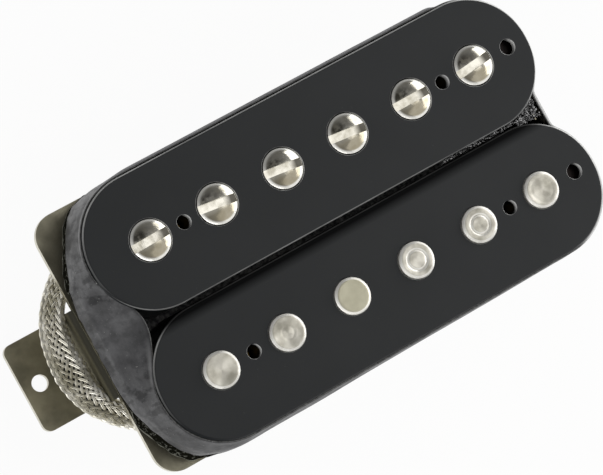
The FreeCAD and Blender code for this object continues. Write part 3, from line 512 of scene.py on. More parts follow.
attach(lead_cover, "pickup")
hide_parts("lead", "lead_coil")

# Baseplate
# Sheet nickel silver, stamped, drilled and folded into two legs with feet. Handling has dulled
# it to an olive grey; its edges are painted bright as a highlight, and its legs darker as shade.
PLATE_EDGE = 0.13
LEG_HALF_WIDTH = 7.0
LEG_FROM_HEIGHT = 5.0
LEG_ROUGHNESS = 0.7


def dress(piece, like, *nodes):
    """A piece rides on the body of the CAD node that it is like."""
    solid = frame["nodes"][like]
    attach(piece, solid["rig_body"])
    if nodes:
        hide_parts(*nodes)


def skin(node, name, finish, edge, angle=30.0):
    """A welded copy of a CAD node with its sharp edges broken, which then stands for it."""
    built = bmesh.new()
    built.from_mesh(frame["nodes"][node].data)
    bmesh.ops.remove_doubles(built, verts=built.verts[:], dist=0.002 * MM)
    flat = math.radians(0.5)
    bmesh.ops.dissolve_limit(built, angle_limit=flat, verts=built.verts[:], edges=built.edges[:])
    piece = keep(name, built, finish, crease=angle)
    bevel = piece.modifiers.new("broken edges", "BEVEL")
    bevel.width = edge * MM
    bevel.segments = 2
    bevel.limit_method = "ANGLE"
    bevel.angle_limit = math.radians(angle)
    bevel.harden_normals = True
    evener = piece.modifiers.new("flat faces lead", "WEIGHTED_NORMAL")
    evener.keep_sharp = True
    evener.weight = 100
    dress(piece, node, node)
    return piece


# Nickel silver: olive grey with stains of some 3.5 mm, and a fine grain along the sheet.
nickel_silver, add, shader, place = new_finish("dulled nickel silver")
stains = add("TexNoise", pattern(place, 3.5, Detail=6.0))
tint = add("ValToRGB", stains)
set_ramp(tint, ((0.35, "#7C7867"), (0.65, "#A39E8A")))
# Painted shade: the legs' outer faces are painted darker, most of all where they bend, and made duller.
facing_z = add("SeparateXYZ", add("NewGeometry").outputs["Normal"]).outputs["Z"]
_, y, z = add("SeparateXYZ", place).outputs
bent = add("MapRange", facing_z, 0.93, 0.8)
upright = add("MapRange", facing_z, -0.3, -0.1)
off_middle = add("Math ABSOLUTE", y)
on_leg = add("Math LESS_THAN", off_middle, LEG_HALF_WIDTH * MM)
aloft = add("Math GREATER_THAN", z, LEG_FROM_HEIGHT * MM)
on_leg = add("Math MULTIPLY", on_leg, aloft)
for mask in (upright, on_leg):
    bent = add("Math MULTIPLY", bent, mask)
bend_shade_share = add("MapRange", facing_z, 0.1, 0.45)
leg_shade_tint = {"Factor": bend_shade_share, "A": colour("#77735F"), "B": colour("#45433A")}
leg_shade_tint = add("Mix", leg_shade_tint, data_type="RGBA")
# Painted highlight: faces far from level, the edges off the legs, are painted bright.
level = add("Math ABSOLUTE", facing_z)
cut = add("MapRange", level, 0.9, 0.6, 0.0, 0.55)
off_leg = add("Math SUBTRACT", 1.0, on_leg)
cut = add("Math MULTIPLY", cut, off_leg)
for share, paint in ((bent, leg_shade_tint), (cut, colour("#F2EEDC"))):
    tint = add("Mix", {"Factor": share, "A": tint, "B": paint}, data_type="RGBA")
rough = add("MapRange", stains, 0.3, 0.7, 0.42, 0.28)
etched = add("Math MULTIPLY", bent, LEG_ROUGHNESS)
rough = add("Math MAXIMUM", rough, etched)
stretch = add("Mapping", {"Vector": place, "Scale": (0.06, 1.0, 1.0)})
grain = add("TexNoise", pattern(stretch, 0.12, Detail=3.0))
bump = add("Bump", {"Height": grain, "Strength": 0.25, "Distance": 0.02 * MM})
feed(shader, {"Base Color": tint, "Roughness": rough, "Normal": bump, "Metallic": 0.85})
skin("baseplate", "folded_baseplate", nickel_silver, PLATE_EDGE)

# Bars between the plate and the bobbins
# A bar magnet of sand-cast alnico between the rows, a cold-rolled steel bar that the pole
# screws thread through, and a moulded strip that packs up the slugs' other side.
BAR_EDGE = 0.1

# Cast alnico: dark grey, pitted as it left the sand, with the odd bright rub.
cast_magnet = mottled(
    "sand-cast alnico", (0.4, "#4A4A4B"), (0.7, "#8A8987"),
    grain=0.5, detail=6.0, roughness=0.55, relief=(0.8, 0.12), metallic=1.0,
)
# Cold-rolled steel: grey with fine lines from the rolls along its length.
rolled_steel = mottled(
    "cold-rolled steel", (0.3, "#6F6C68"), (0.7, "#9B9892"),
    grain=0.15, detail=4.0, roughness=0.4, metallic=1.0, stretch=(0.04, 1.0, 1.0),
)
# Black strip: the bobbins' plastic, rougher and a little greyer where it was sawn to length.
sawn_plastic = mottled(
    "sawn black plastic", (0.3, "#161616"), (0.75, "#2A2A2B"),
    grain=0.4, detail=5.0, roughness=0.6, relief=(0.5, 0.03),
)

skin("magnet_bar", "alnico_magnet", cast_magnet, BAR_EDGE)
skin("keeper_bar", "steel_keeper", rolled_steel, BAR_EDGE)
skin("spacer_bar", "slug_side_spacer", sawn_plastic, BAR_EDGE)

# Bobbins
# Injection-moulded black plastic, each two thin round-ended flanges on a core that holds the
# poles. The flat faces are satin from the mould, with a little dust.
BOBBIN_EDGE = 0.1
BOBBIN_GLOSS = 0.42
ROW_Y = 9.2
SEAT_REACH = 3.2
HOLES_FROM_X = (-32.5, -32.0)
HOLES_FROM_HEIGHT = (27.5, 27.9)
GAP_SHADOW_Y = (-2.3, -1.0)

satin_plastic, add, shader, place = new_finish("moulded black plastic")
cloud = add("TexNoise", pattern(place, 9, Detail=5.0))
speck = add("TexNoise", pattern(place, 0.28, Detail=2.0))
dust = add("ValToRGB", speck)
set_ramp(dust, ((0.74, 0.0), (0.8, 1.0)))
x, y, z = add("SeparateXYZ", place).outputs
facing = add("SeparateXYZ", add("NewGeometry").outputs["Normal"])
facing_x, facing_y, facing_z = facing.outputs
# Painted highlight: broken edges that face +X are painted palest, those that face +Y less, those that
# face -Y hardly, and the screw bobbin's edge along the gap a little, broken up by a noise.
far_facing = add("MapRange", facing_x, 0.0, 0.6, 0.0, 0.9)
side_facing = add("MapRange", facing_y, -0.3, 0.6, 0.0, 0.6)
pale = add("Math ADD", far_facing, side_facing)
past_gap = add("Math GREATER_THAN", y, 0.0)
gap_facing = add("MapRange", facing_y, -0.35, -0.6, 0.0, 0.3)
gap_facing = add("Math MULTIPLY", gap_facing, past_gap)
pale = add("Math MAXIMUM", pale, gap_facing)
painted_light = add("MapRange", facing_z, 0.97, 0.85)
upright = add("MapRange", facing_z, 0.1, 0.35)
worn = add("MapRange", cloud, 0.35, 0.6, 0.35, 0.85)
for mask in (upright, worn, pale):
    painted_light = add("Math MULTIPLY", painted_light, mask)
# Painted highlight: the walls of the holes are painted pale just below the top, where they face -X.
wall = add("MapRange", facing_x, -0.3, -0.9)
high = add("MapRange", z, HOLES_FROM_HEIGHT[0] * MM, HOLES_FROM_HEIGHT[1] * MM)
inside = add("MapRange", x, HOLES_FROM_X[0] * MM, HOLES_FROM_X[1] * MM, 0.0, 0.9)
from_gap = add("Math ABSOLUTE", y)
on_row = add("Math COMPARE", from_gap, ROW_Y * MM, SEAT_REACH * MM)
for mask in (high, inside, on_row):
    wall = add("Math MULTIPLY", wall, mask)
tint = colour("#0C1012")
for share, paint in ((dust, "#3B3C3C"), (painted_light, "#ECECEA"), (wall, "#F6F6F4")):
    tint = add("Mix", {"Factor": share, "A": tint, "B": colour(paint)}, data_type="RGBA")
# Painted shadow: the slug bobbin's inner edge along the gap is darkened, and its shine dulled.
unshadowed = add("MapRange", y, GAP_SHADOW_Y[0] * MM, GAP_SHADOW_Y[1] * MM, 1.0, 0.12)
unshadowed = add("Math MAXIMUM", unshadowed, past_gap)
shade = add("CombineColor", unshadowed, unshadowed, unshadowed)
mixture = {"Factor": 1.0, "A": tint, "B": shade}
tint = add("Mix", mixture, data_type="RGBA", blend_type="MULTIPLY")
# Wax from the tape has dulled the edges at the -X end.
gloss = add("Math MULTIPLY", unshadowed, BOBBIN_GLOSS)
waxed = add("MapRange", facing_x, -0.1, -0.4, 1.0, 0.3)
gloss = add("Math MULTIPLY", gloss, waxed)
rough = add("MapRange", cloud, 0.3, 0.7, 0.4, 0.5)
fine = add("TexNoise", pattern(place, 0.2, Detail=3.0))
bump = add("Bump", {"Height": fine, "Strength": 0.15, "Distance": 0.01 * MM})
feed(shader, {"Base Color": tint, "Roughness": rough, "Normal": bump})
feed(shader, {"Specular IOR Level": gloss, "IOR": 1.5})
for row in ("screw", "slug"):
    skin(f"{row}_bobbin", f"{row}_row_bobbin", satin_plastic, BOBBIN_EDGE, angle=50.0)

# Windings and their tapes
# Some thousands of turns of hair-fine enamelled copper wire on each core, a little fuller in
# the middle, held by one lap of black paper tape.
CORE_LENGTH = 57.6
CORE_WIDTH = 6.8
WINDING_START = 0.1
WINDING_BUILD = 3.85
WINDING_BULGE = 0.12
WINDING_ROWS = 12
# Free height below and above the turns, and at both edges of the tape.
WINDING_GAPS = (0.1, 0.8)
TAPE_GAP = 0.05
TAPE_GROWN = 4.15
TAPE_THICK = 0.14
TAPE_CREASE = 0.07
TAPE_ROWS = 6
OBLONG_STEP = 0.8
FLANGE = 1.1


def oblong_loop(length, width, step):
    """Points and outward directions along an oblong with half-round ends, from its +X end."""
    radius = width / 2
    flat = length / 2 - radius
    turns = max(round(math.pi * radius / step), 8)
    runs = max(round(2 * flat / step), 2)
    loop = []
    for side in (1, -1):
        for index in range(turns):
            angle = (index / turns - 0.5) * math.pi
            out = Vector((math.cos(angle), math.sin(angle), 0.0)) * side
            loop.append((Vector((flat * side, 0.0, 0.0)) + out * radius, out))
        for index in range(runs):
            place = Vector((flat * side * (1 - 2 * index / runs), radius * side, 0.0))
            loop.append((place, Vector((0.0, side, 0.0))))
    return loop


def coil_ring(side, level, grown, crease=0.0):
    """One level ring round a row's core, that far off it and with creases of that depth."""
    ring = []
    for spot, out in oblong_loop(CORE_LENGTH, CORE_WIDTH, OBLONG_STEP):
        wave = crease * noise.noise(Vector((spot.x * 0.5, spot.y * 0.5, level * 0.4 + side * 20)))
        point = spot + out * (grown + wave)
        ring.append(Vector((point.x, point.y + side * ROW_Y, level)))
    return ring


def loft(name, loops, finish, closed=True, crease=35.0):
    """A skin through loops of points in millimetres, one after another, each loop closed."""
    built = bmesh.new()
    rows = [[built.verts.new(point * MM) for point in loop] for loop in loops]
    pairs = list(zip(rows, rows[1:]))
    if closed:
        pairs.append((rows[-1], rows[0]))
    for row, after in pairs:
        for index in range(len(row)):
            beside = (index + 1) % len(row)
            built.faces.new((row[index], row[beside], after[beside], after[index]))
    bmesh.ops.recalc_face_normals(built, faces=built.faces[:])
    return keep(name, built, finish, crease=crease)


# Enamelled copper, painted near-black brown as the shade it lies in, with the turns as fine level lines.
# The real wire is 0.06 mm; the lines are drawn some 0.2 mm apart so that they show. A wave
# texture draws WAVE_LINES lines across the size that it is given.
WAVE_LINES = 3.2
copper_turns, add, shader, place = new_finish("enamelled copper wire")
lines = pattern(place, 0.2 * WAVE_LINES, Distortion=1.5)
lines = add("TexWave", lines, bands_direction="Z").outputs["Fac"]
tint = add("ValToRGB", lines)
set_ramp(tint, ((0.2, "#090606"), (0.8, "#1C110E")))
bump = add("Bump", {"Height": lines, "Strength": 0.6, "Distance": 0.04 * MM})
feed(shader, {"Base Color": tint, "Normal": bump, "Metallic": 0.7, "Roughness": 0.35})

# Black paper tape: matt crepe with small creases.
crepe_tape = mottled(
    "black crepe paper tape", (0.3, "#101011"), (0.7, "#252526"),
    grain=0.35, detail=4.0, roughness=0.7, relief=(0.6, 0.05),
)

for row, side in (("screw", 1), ("slug", -1)):
    low, high = (corner.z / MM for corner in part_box(f"{row}_bobbin"))
    low, high = low + FLANGE, high - FLANGE
    bottom, top = low + WINDING_GAPS[0], high - WINDING_GAPS[1]
    loops = [coil_ring(side, bottom, WINDING_START)]
    for index in range(WINDING_ROWS + 1):
        part = index / WINDING_ROWS
        grown = WINDING_BUILD + WINDING_BULGE * math.sin(part * math.pi)
        loops.append(coil_ring(side, bottom + part * (top - bottom), grown))
    loops.append(coil_ring(side, top, WINDING_START))
    turns = loft(f"{row}_coil_turns", loops, copper_turns)
    dress(turns, f"{row}_coil_winding", f"{row}_coil_winding")
    bottom, top = low + TAPE_GAP, high - TAPE_GAP
    levels = [bottom + part / TAPE_ROWS * (top - bottom) for part in range(TAPE_ROWS + 1)]
    loops = [coil_ring(side, level, TAPE_GROWN, TAPE_CREASE) for level in levels]
    loops += [coil_ring(side, level, TAPE_GROWN - TAPE_THICK, TAPE_CREASE) for level in reversed(levels)]
    tape = loft(f"{row}_coil_lap", loops, crepe_tape)
    dress(tape, f"{row}_coil_tape", f"{row}_coil_tape")

# Tape round both coils
# Two laps of black adhesive paper tape pulled round the pair, over the flanges' edges and
# across the gaps between their ends, where it bellies out below and dips in at the top.
WRAP_LOW = 17.75
WRAP_LAP = 20.5
WRAP_BELLY = 23.4
WRAP_FOLD = 27.8
WRAP_HIGH = 28.15
WRAP_STEP = 0.5
WRAP_THICK = 0.3
INNER_ROWS = 7
OUTER_ROWS = 19
LAP_STEP = 0.3
WRAP_HIGH_OFF = 0.24
# How far the tape stands off the flanges' outline round the -X end, at its lower edge and at the
# outer lap's lower edge, by the outline's Y; and along the sides, by the outline's X.
LEFT_Y = (
    *(-18.05, -17.3, -16.3, -15.0, -13.6, -12.4, -10.5, -9.0, -6.0, 0.0),
    *(6.0, 8.5, 9.6, 11.0, 12.3, 13.5, 15.6, 17.0, 18.05),
)
LEFT_LOW = (
    *(1.0, 1.15, 2.0, 1.75, 1.45, 1.5, 1.7, 1.5, 1.2, 1.2),
    *(1.2, 1.3, 1.1, 0.65, 0.3, 0.15, 0.45, 0.7, 0.45),
)
LEFT_LAP = (
    *(1.0, 1.05, 1.4, 1.2, 1.15, 1.1, 1.4, 1.9, 2.4, 2.3),
    *(2.15, 1.6, 0.9, 0.6, 0.4, 0.25, 0.6, 0.9, 0.45),
)
SIDE_X = (-24.7, 23.6, 24.0, 33.3)
FAR_SIDE = (0.45, 0.5, 0.2, 0.5)
NEAR_SIDE = (1.0, 0.6, 0.6, 0.7)
# Above the lap's edge it lies closer: what stands off past BELLY_FREE is drawn in to a share.
BELLY_FREE = 0.95
BELLY_SHARE = 0.55
# Along the +Y side it stands off nearly to the top, as far as its outer lap's end, and then
# folds in over the flange's edge.
FAR_TOP_X = (-27.0, -23.0, 23.6, 24.0)
FAR_TOP = (0.24, 0.62, 0.66, 0.24)
# Round the -X end the inner lap's lower edge is crumbled, with wax and dust on it.
CRUMBLE = 0.4
CRUMBLE_GRAIN = 1.3
EDGE_WAVE = 0.12
EDGE_WAVE_GRAIN = 0.15
CORNER_X = 24.7
CORNER_OUT_Y = 9.45
CORNER_IN_Y = 8.95
CORNER_RADIUS = 8.6
# Between the bobbins' -X ends it dips in by this much, deepest at this Y. At the +X end it lies
# against the flanges down to RIGHT_SPAN_Y, and spans straight across.
LEFT_DIP = (3.3, 0.7)
RIGHT_SPAN_Y = 2.6
RIGHT_DIP_SHARE = 0.95
FLANGE_RADIUS = 8.85


def pair_loop(step):
    """Points and outward directions round both bobbins' flanges, clockwise from -X, +Y."""
    loop = []
    side_runs = round(2 * CORNER_X / step)
    turns = round(CORNER_RADIUS * math.pi / 2 / step)
    end_runs = round(2 * CORNER_OUT_Y / step)
    for way in (1, -1):
        for index in range(side_runs):
            x = -CORNER_X + 2 * CORNER_X * index / side_runs
            loop.append((Vector((x, CORNER_OUT_Y + CORNER_RADIUS, 0)) * way, Vector((0, way, 0))))
        for index in range(turns):
            angle = math.pi / 2 * (1 - index / turns)
            out = Vector((math.cos(angle), math.sin(angle), 0)) * way
            loop.append((Vector((CORNER_X, CORNER_OUT_Y, 0)) * way + out * CORNER_RADIUS, out))
        for index in range(end_runs):
            y = CORNER_OUT_Y - 2 * CORNER_OUT_Y * index / end_runs
            loop.append((Vector((CORNER_X + CORNER_RADIUS, y, 0)) * way, Vector((way, 0, 0))))
        for index in range(turns):
            angle = -math.pi / 2 * index / turns
            out = Vector((math.cos(angle), math.sin(angle), 0)) * way
            loop.append((Vector((CORNER_X, -CORNER_OUT_Y, 0)) * way + out * CORNER_RADIUS, out))
    return loop


def wrap_creases(spot, level, rise):
    """How far the tape stands out at a place: long folds, short puckers and a slack edge."""
    slow = noise.noise(Vector((spot.x * 0.11, spot.y * 0.11, level * 0.16)))
    fold = noise.noise(Vector((spot.x * 0.3 + 7, spot.y * 0.3 + level * 0.12, level * 0.14)))
    pucker = noise.noise(Vector((spot.x * 0.9, spot.y * 0.9 + level * 0.5, level * 0.45 + 30)))
    ends = min(max((abs(spot.x) - 20) / 10, 0.0), 1.0)
    sharp = max(0.0, 1 - abs(fold) * 5) ** 2
    return 0.1 * slow + ends * (0.16 * sharp + 0.05 * pucker) * (0.35 + 0.65 * math.sin(rise * math.pi))


def stand_off(spot, level):
    """How far the tape stands off the outline at a height, before its creases."""
    if spot.x < -CORNER_X:
        low_off, lap_off = between(spot.y, LEFT_Y, LEFT_LOW), between(spot.y, LEFT_Y, LEFT_LAP)
    else:
        low_off = lap_off = between(spot.x, SIDE_X, FAR_SIDE if spot.y > 0 else NEAR_SIDE)
    if level < WRAP_LAP:
        return between(level, (WRAP_LOW, WRAP_LAP), (low_off, lap_off - LAP_STEP))
    belly_off = min(lap_off, BELLY_FREE) + BELLY_SHARE * max(lap_off - BELLY_FREE, 0.0)
    fold_off = between(WRAP_FOLD, (WRAP_BELLY, WRAP_HIGH), (belly_off, WRAP_HIGH_OFF))
    if spot.y > CORNER_OUT_Y:
        fold_off = max(fold_off, between(spot.x, FAR_TOP_X, FAR_TOP))
    heights = (WRAP_LAP, WRAP_BELLY, WRAP_FOLD, WRAP_HIGH)
    return between(level, heights, (lap_off, max(belly_off, fold_off), fold_off, WRAP_HIGH_OFF))


inner_step = (WRAP_LAP - LAP_STEP - WRAP_LOW) / INNER_ROWS
outer_step = (WRAP_HIGH - WRAP_LAP) / OUTER_ROWS
wrap_levels = [WRAP_LOW + row * inner_step for row in range(INNER_ROWS + 1)]
wrap_levels += [WRAP_LAP + row * outer_step for row in range(OUTER_ROWS + 1)]
wrap_rows = []
for level in wrap_levels:
    rise = (level - WRAP_LOW) / (WRAP_HIGH - WRAP_LOW)
    left_bow = between(level, (WRAP_BELLY, WRAP_HIGH), (0.0, 1.0))
    left_bow = left_bow * (0.55 + 0.45 * left_bow)
    ring = []
    for spot, out in pair_loop(WRAP_STEP):
        off = stand_off(spot, level)
        crumbled = level < WRAP_LAP and spot.x < 0
        if crumbled:
            off += CRUMBLE * noise.noise(spot * CRUMBLE_GRAIN + Vector((0, 0, level * CRUMBLE_GRAIN)))
        point = spot + out * (off + wrap_creases(spot, level, rise) * (1 - rise**3))
        if abs(spot.y) < CORNER_IN_Y:
            if spot.x > 0:
                inward = ROW_Y - max(abs(spot.y), RIGHT_SPAN_Y)
                flange_dip = FLANGE_RADIUS - math.sqrt(FLANGE_RADIUS**2 - inward**2)
                point.x -= RIGHT_DIP_SHARE * rise * flange_dip
            else:
                deep, middle = LEFT_DIP
                reach = CORNER_IN_Y + (middle if spot.y < middle else -middle)
                part = (spot.y - middle) / reach
                point.x += deep * math.cos(part * math.pi / 2) ** 2 * left_bow
        point.z = level + EDGE_WAVE * noise.noise(spot * EDGE_WAVE_GRAIN)
        if crumbled and level == WRAP_LOW:
            point.z += CRUMBLE * noise.noise(spot * CRUMBLE_GRAIN)
        ring.append(point)
    wrap_rows.append(ring)

# Adhesive paper tape: satin grey where it is drawn tight, mottled by wax and handling in patches
# of some 3 mm, with dust specks of 0.3 mm.
wrap_tape, add, shader, place = new_finish("black adhesive paper tape")
x, y, up = add("SeparateXYZ", place).outputs
facing = add("SeparateXYZ", add("NewGeometry").outputs["Normal"])
facing_x, facing_y, _ = facing.outputs
patch = add("TexNoise", pattern(place, 3.2, Detail=6.0, Roughness=0.65))
tint = add("ValToRGB", patch)
set_ramp(tint, ((0.32, "#1A1A1C"), (0.5, "#343436"), (0.72, "#525254")))
speck = add("TexNoise", pattern(place, 0.3, Detail=2.0))
dots = add("ValToRGB", speck)
set_ramp(dots, ((0.7, 0.0), (0.78, 1.0)))
# Dark smears run up the tape at its handled corners and along its lower half, and past the slug
# bobbin's side towards -Y the tape is painted darker as shade.
drawn = add("Mapping", {"Vector": place, "Scale": (1.0, 1.0, 0.3)})
smear_and_shade = add("TexNoise", pattern(drawn, 1.3, Detail=6.0, Roughness=0.6))
smear_and_shade = add("MapRange", smear_and_shade, 0.47, 0.6, 0.0, 0.75)
from_gap = add("Math ABSOLUTE", y)
handled = add("MapRange", from_gap, 2 * MM, 7 * MM, 0.15, 1.0)
lower = add("MapRange", up, 24.5 * MM, 22.5 * MM, 0.0, 0.8)
handled = add("Math MAXIMUM", handled, lower)
smear_and_shade = add("Math MULTIPLY", smear_and_shade, handled)
minus_y_shade = add("MapRange", y, -9 * MM, -15 * MM, 0.0, 0.55)
smear_and_shade = add("Math MAXIMUM", smear_and_shade, minus_y_shade)
# Painted light: inside the far end, the tape's inner face near the top is painted pale.
beyond = add("Math GREATER_THAN", x, 0.0)
near_top = add("MapRange", up, 25.6 * MM, 26.4 * MM)
painted_light = add("MapRange", facing_x, -0.3, -0.8, 0.0, 0.95)
for mask in (beyond, near_top):
    painted_light = add("Math MULTIPLY", painted_light, mask)
# Painted highlight: the fold along the +Y side is painted paler where it faces +Y.
on_fold = add("MapRange", up, 27.4 * MM, WRAP_FOLD * MM)
fold_highlight = add("MapRange", facing_y, 0.15, 0.5, 0.0, 0.8)
fold_highlight = add("Math MULTIPLY", fold_highlight, on_fold)
# Inner lap below the outer one: painted near black as shade, but for its pale lower edge and crumbs.
inner_lap_shade = add("MapRange", up, (WRAP_LAP - LAP_STEP) * MM, WRAP_LAP * MM, 1.0, 0.0)
pale = add("MapRange", up, 18.0 * MM, 18.12 * MM, 1.0, 0.0)
crumbs = add("TexNoise", pattern(place, 0.45, Detail=4.0))
crumbs = add("MapRange", crumbs, 0.56, 0.68, 0.0, 0.7)
pale = add("Math MAXIMUM", pale, crumbs)
inner = add("Mix", {"Factor": pale, "A": colour("#14140F"), "B": colour("#77776E")}, data_type="RGBA")
for share, paint in (
    (smear_and_shade, colour("#121213")),
    (dots, colour("#9A9A96")),
    (painted_light, colour("#D8D8D6")),
    (fold_highlight, colour("#8E8E8F")),
    (inner_lap_shade, inner),
):
    tint = add("Mix", {"Factor": share, "A": tint, "B": paint}, data_type="RGBA")
# Smears, the painted shade and the inner lap take the shine off.
shine = add("MapRange", inner_lap_shade, 0.0, 1.0, 0.5, 0.0)
dulled = add("MapRange", smear_and_shade, 0.0, 0.6, 1.0, 0.5)
shine = add("Math MULTIPLY", shine, dulled)
rough = add("MapRange", patch, 0.35, 0.65, 0.5, 0.36)
fibre = add("TexNoise", pattern(place, 0.25, Detail=5.0))
bump = add("Bump", {"Height": fibre, "Strength": 0.35, "Distance": 0.03 * MM})
crinkle = add("TexNoise", pattern(place, 1.6, Detail=3.0))
bump = add("Bump", {"Height": crinkle, "Strength": 0.4, "Distance": 0.15 * MM, "Normal": bump})
feed(shader, {"Base Color": tint, "Specular IOR Level": shine, "Roughness": rough, "Normal": bump})

# The tape's cut edge shows its paler paper; at the far end it is painted near white as a highlight.
tape_edge, add, shader, place = new_finish("cut edge of the tape")
fibre = add("TexNoise", pattern(place, 0.4, Detail=3.0))
tint = add("ValToRGB", fibre)
set_ramp(tint, ((0.3, "#303030"), (0.7, "#6A6A68")))
end = add("MapRange", add("SeparateXYZ", place), 26 * MM, 28 * MM)
tint = add("Mix", {"Factor": end, "A": tint, "B": colour("#E6E6E4")}, data_type="RGBA")
feed(shader, {"Base Color": tint, "Roughness": 0.6})

wrap = loft("coil_pair_tape", wrap_rows, wrap_tape, closed=False, crease=60.0)
wrap.data.materials.append(tape_edge)
wall = wrap.modifiers.new("tape thickness", "SOLIDIFY")
wall.thickness = WRAP_THICK * MM
wall.offset = -1.0
wall.material_offset_rim = 1
smoother = wrap.modifiers.new("soft folds", "SUBSURF")
smoother.levels = smoother.render_levels = 1
dress(wrap, "outer_wrap", "outer_wrap")

# Screws
# Six nickel plated fillister screws that set each string's level, and four brass ones that
# hold the bobbins from below. Each has a domed slotted head and a rolled thread.
POLE_PITCH = 9.9
HEAD_SEAT = 27.7
PLATE_UNDERSIDE = 14.4
SCREW_TURNS = (1.5, -7.5, -7.0, -6.5, 0.5, 6.0)
SCREW_SIZES = {
    # name: (pole screw, brass screw)
    "Head Radius": (2.65, 1.8),
    "Head Edge": (1.2, 0.6),
    "Head Rise": (0.7, 0.6),
    "Slot Width": (1.1, 0.6),
    "Slot Depth": (0.85, 0.5),
    "Root Radius": (1.22, 0.64),
    "Shank Length": (19.0, 9.5),
    "Plain Length": (3.0, 0.6),
    "Thread Pitch": (0.635, 0.45),
    "Thread Height": (0.3, 0.2),
}
HEAD_SIDES = 72
HEAD_RINGS = 10
SHANK_SIDES = 24
# The dome falls off faster past this share of the head's radius, by this much at the rim.
RIM_START_SHARE = 0.9
RIM_DROP = 0.1
RIM_EDGE = 0.12
# The edges of the slot are broken by this share of the rim's.
SLOT_EDGE_SHARE = 0.35


def axis_distance(add, spot):
    """How far a place is from the Z axis, and the place with its height left out."""
    level = add("VectorMath MULTIPLY", spot, (1.0, 1.0, 0.0))
    return add("VectorMath LENGTH", level).outputs["Value"], level


def raised(add, shape, height):
    """A node tree's shape moved up by a height."""
    lift = add("CombineXYZ", {"Z": height})
    return add("Transform", {"Geometry": shape, "Translation": lift})


def keep_places(add, shape):
    """Notes each point's place, for the finishes that follow the lathe's axis."""
    noted = {"Geometry": shape, "Name": "turned_place", "Value": add("InputPosition")}
    return add("StoreNamedAttribute", noted, data_type="FLOAT_VECTOR")


# Tree: a head whose top faces rise to a dome and whose slot is cut by a block, a plain neck and
# a shank with a V thread wound on it. It is made head up with the shank's top at nought.
screw_tree, add, sizes = new_tree("slotted screw", SCREW_SIZES, {"Turn": "Rotation", "Place": "Vector"})
drum = {"Radius": sizes["Head Radius"], "Depth": sizes["Head Edge"]}
drum.update({"Vertices": HEAD_SIDES, "Fill Segments": HEAD_RINGS})
drum = add("MeshCylinder", drum, fill_type="TRIANGLE_FAN")
from_axis, _ = axis_distance(add, add("InputPosition"))
outward = add("Math DIVIDE", from_axis, sizes["Head Radius"])
part = add("Math POWER", outward, 2.0)
part = add("Math SUBTRACT", 1.0, part)
rise = add("Math MULTIPLY", part, sizes["Head Rise"])
past = add("Math SUBTRACT", outward, RIM_START_SHARE)
past = add("Math MAXIMUM", past, 0.0)
steep = -RIM_DROP * MM / (1 - RIM_START_SHARE)
rise = add("Math MULTIPLY_ADD", past, steep, rise)
rise = add("CombineXYZ", {"Z": rise})
domed = {"Geometry": drum.outputs["Mesh"], "Selection": drum.outputs["Top"], "Offset": rise}
domed = add("SetPosition", domed)
domed = raised(add, domed, add("Math MULTIPLY", sizes["Head Edge"], 0.5))
tall = add("Math ADD", sizes["Head Edge"], sizes["Head Rise"])
long = add("Math MULTIPLY", sizes["Head Radius"], 3.0)
deep = add("Math MULTIPLY", sizes["Slot Depth"], 2.0)
block = add("MeshCube", {"Size": add("CombineXYZ", long, sizes["Slot Width"], deep)})
block = raised(add, block, tall)
slotted = {"Mesh 1": domed, "Mesh 2": block}
slotted = add("MeshBoolean DIFFERENCE", slotted, solver="EXACT")
bend = add("InputMeshEdgeAngle").outputs["Unsigned Angle"]
sharp = add("Math GREATER_THAN", bend, math.radians(30))
outer = add("Math MULTIPLY", sizes["Head Radius"], 0.95)
outer = add("Math GREATER_THAN", from_axis, outer)
weight = add("MapRange", outer, 0.0, 1.0, SLOT_EDGE_SHARE, 1.0)
sharp = add("Math MULTIPLY", sharp, weight)
slotted = {"Geometry": slotted, "Name": "bevel_weight_edge", "Value": sharp}
slotted = add("StoreNamedAttribute", slotted, data_type="FLOAT", domain="EDGE")
crest = add("Math ADD", sizes["Root Radius"], sizes["Thread Height"])
shank = []
for radius, length in ((sizes["Root Radius"], sizes["Shank Length"]), (crest, sizes["Plain Length"])):
    rod = add("MeshCylinder", {"Vertices": SHANK_SIDES, "Radius": radius, "Depth": length})
    shank.append(raised(add, rod, add("Math MULTIPLY", length, -0.5)))
threaded = sizes["Shank Length"]
for less in (sizes["Plain Length"], sizes["Thread Pitch"]):
    threaded = add("Math SUBTRACT", threaded, less)
rounds = add("Math DIVIDE", threaded, sizes["Thread Pitch"])
helix = {"Resolution": SHANK_SIDES, "Rotations": rounds, "Height": threaded}
helix.update({"Start Radius": sizes["Root Radius"], "End Radius": sizes["Root Radius"]})
helix = add("CurveSpiral", helix)
helix = add("SetCurveNormal", {"Curve": helix}, mode="Z_UP")
ridge = add("CurvePrimitiveCircle", {"Resolution": 4, "Radius": sizes["Thread Height"]})
thread = {"Curve": helix, "Profile Curve": ridge.outputs["Curve"], "Fill Caps": True}
thread = add("CurveToMesh", thread)
start = add("Math MULTIPLY", sizes["Thread Pitch"], 0.5)
start = add("Math SUBTRACT", start, sizes["Shank Length"])
whole = add("JoinGeometry", {"Geometry": [slotted, *shank, raised(add, thread, start)]})
whole = {"Geometry": keep_places(add, whole), "Rotation": sizes["Turn"], "Translation": sizes["Place"]}
end_tree(add, add("Transform", whole), sizes)


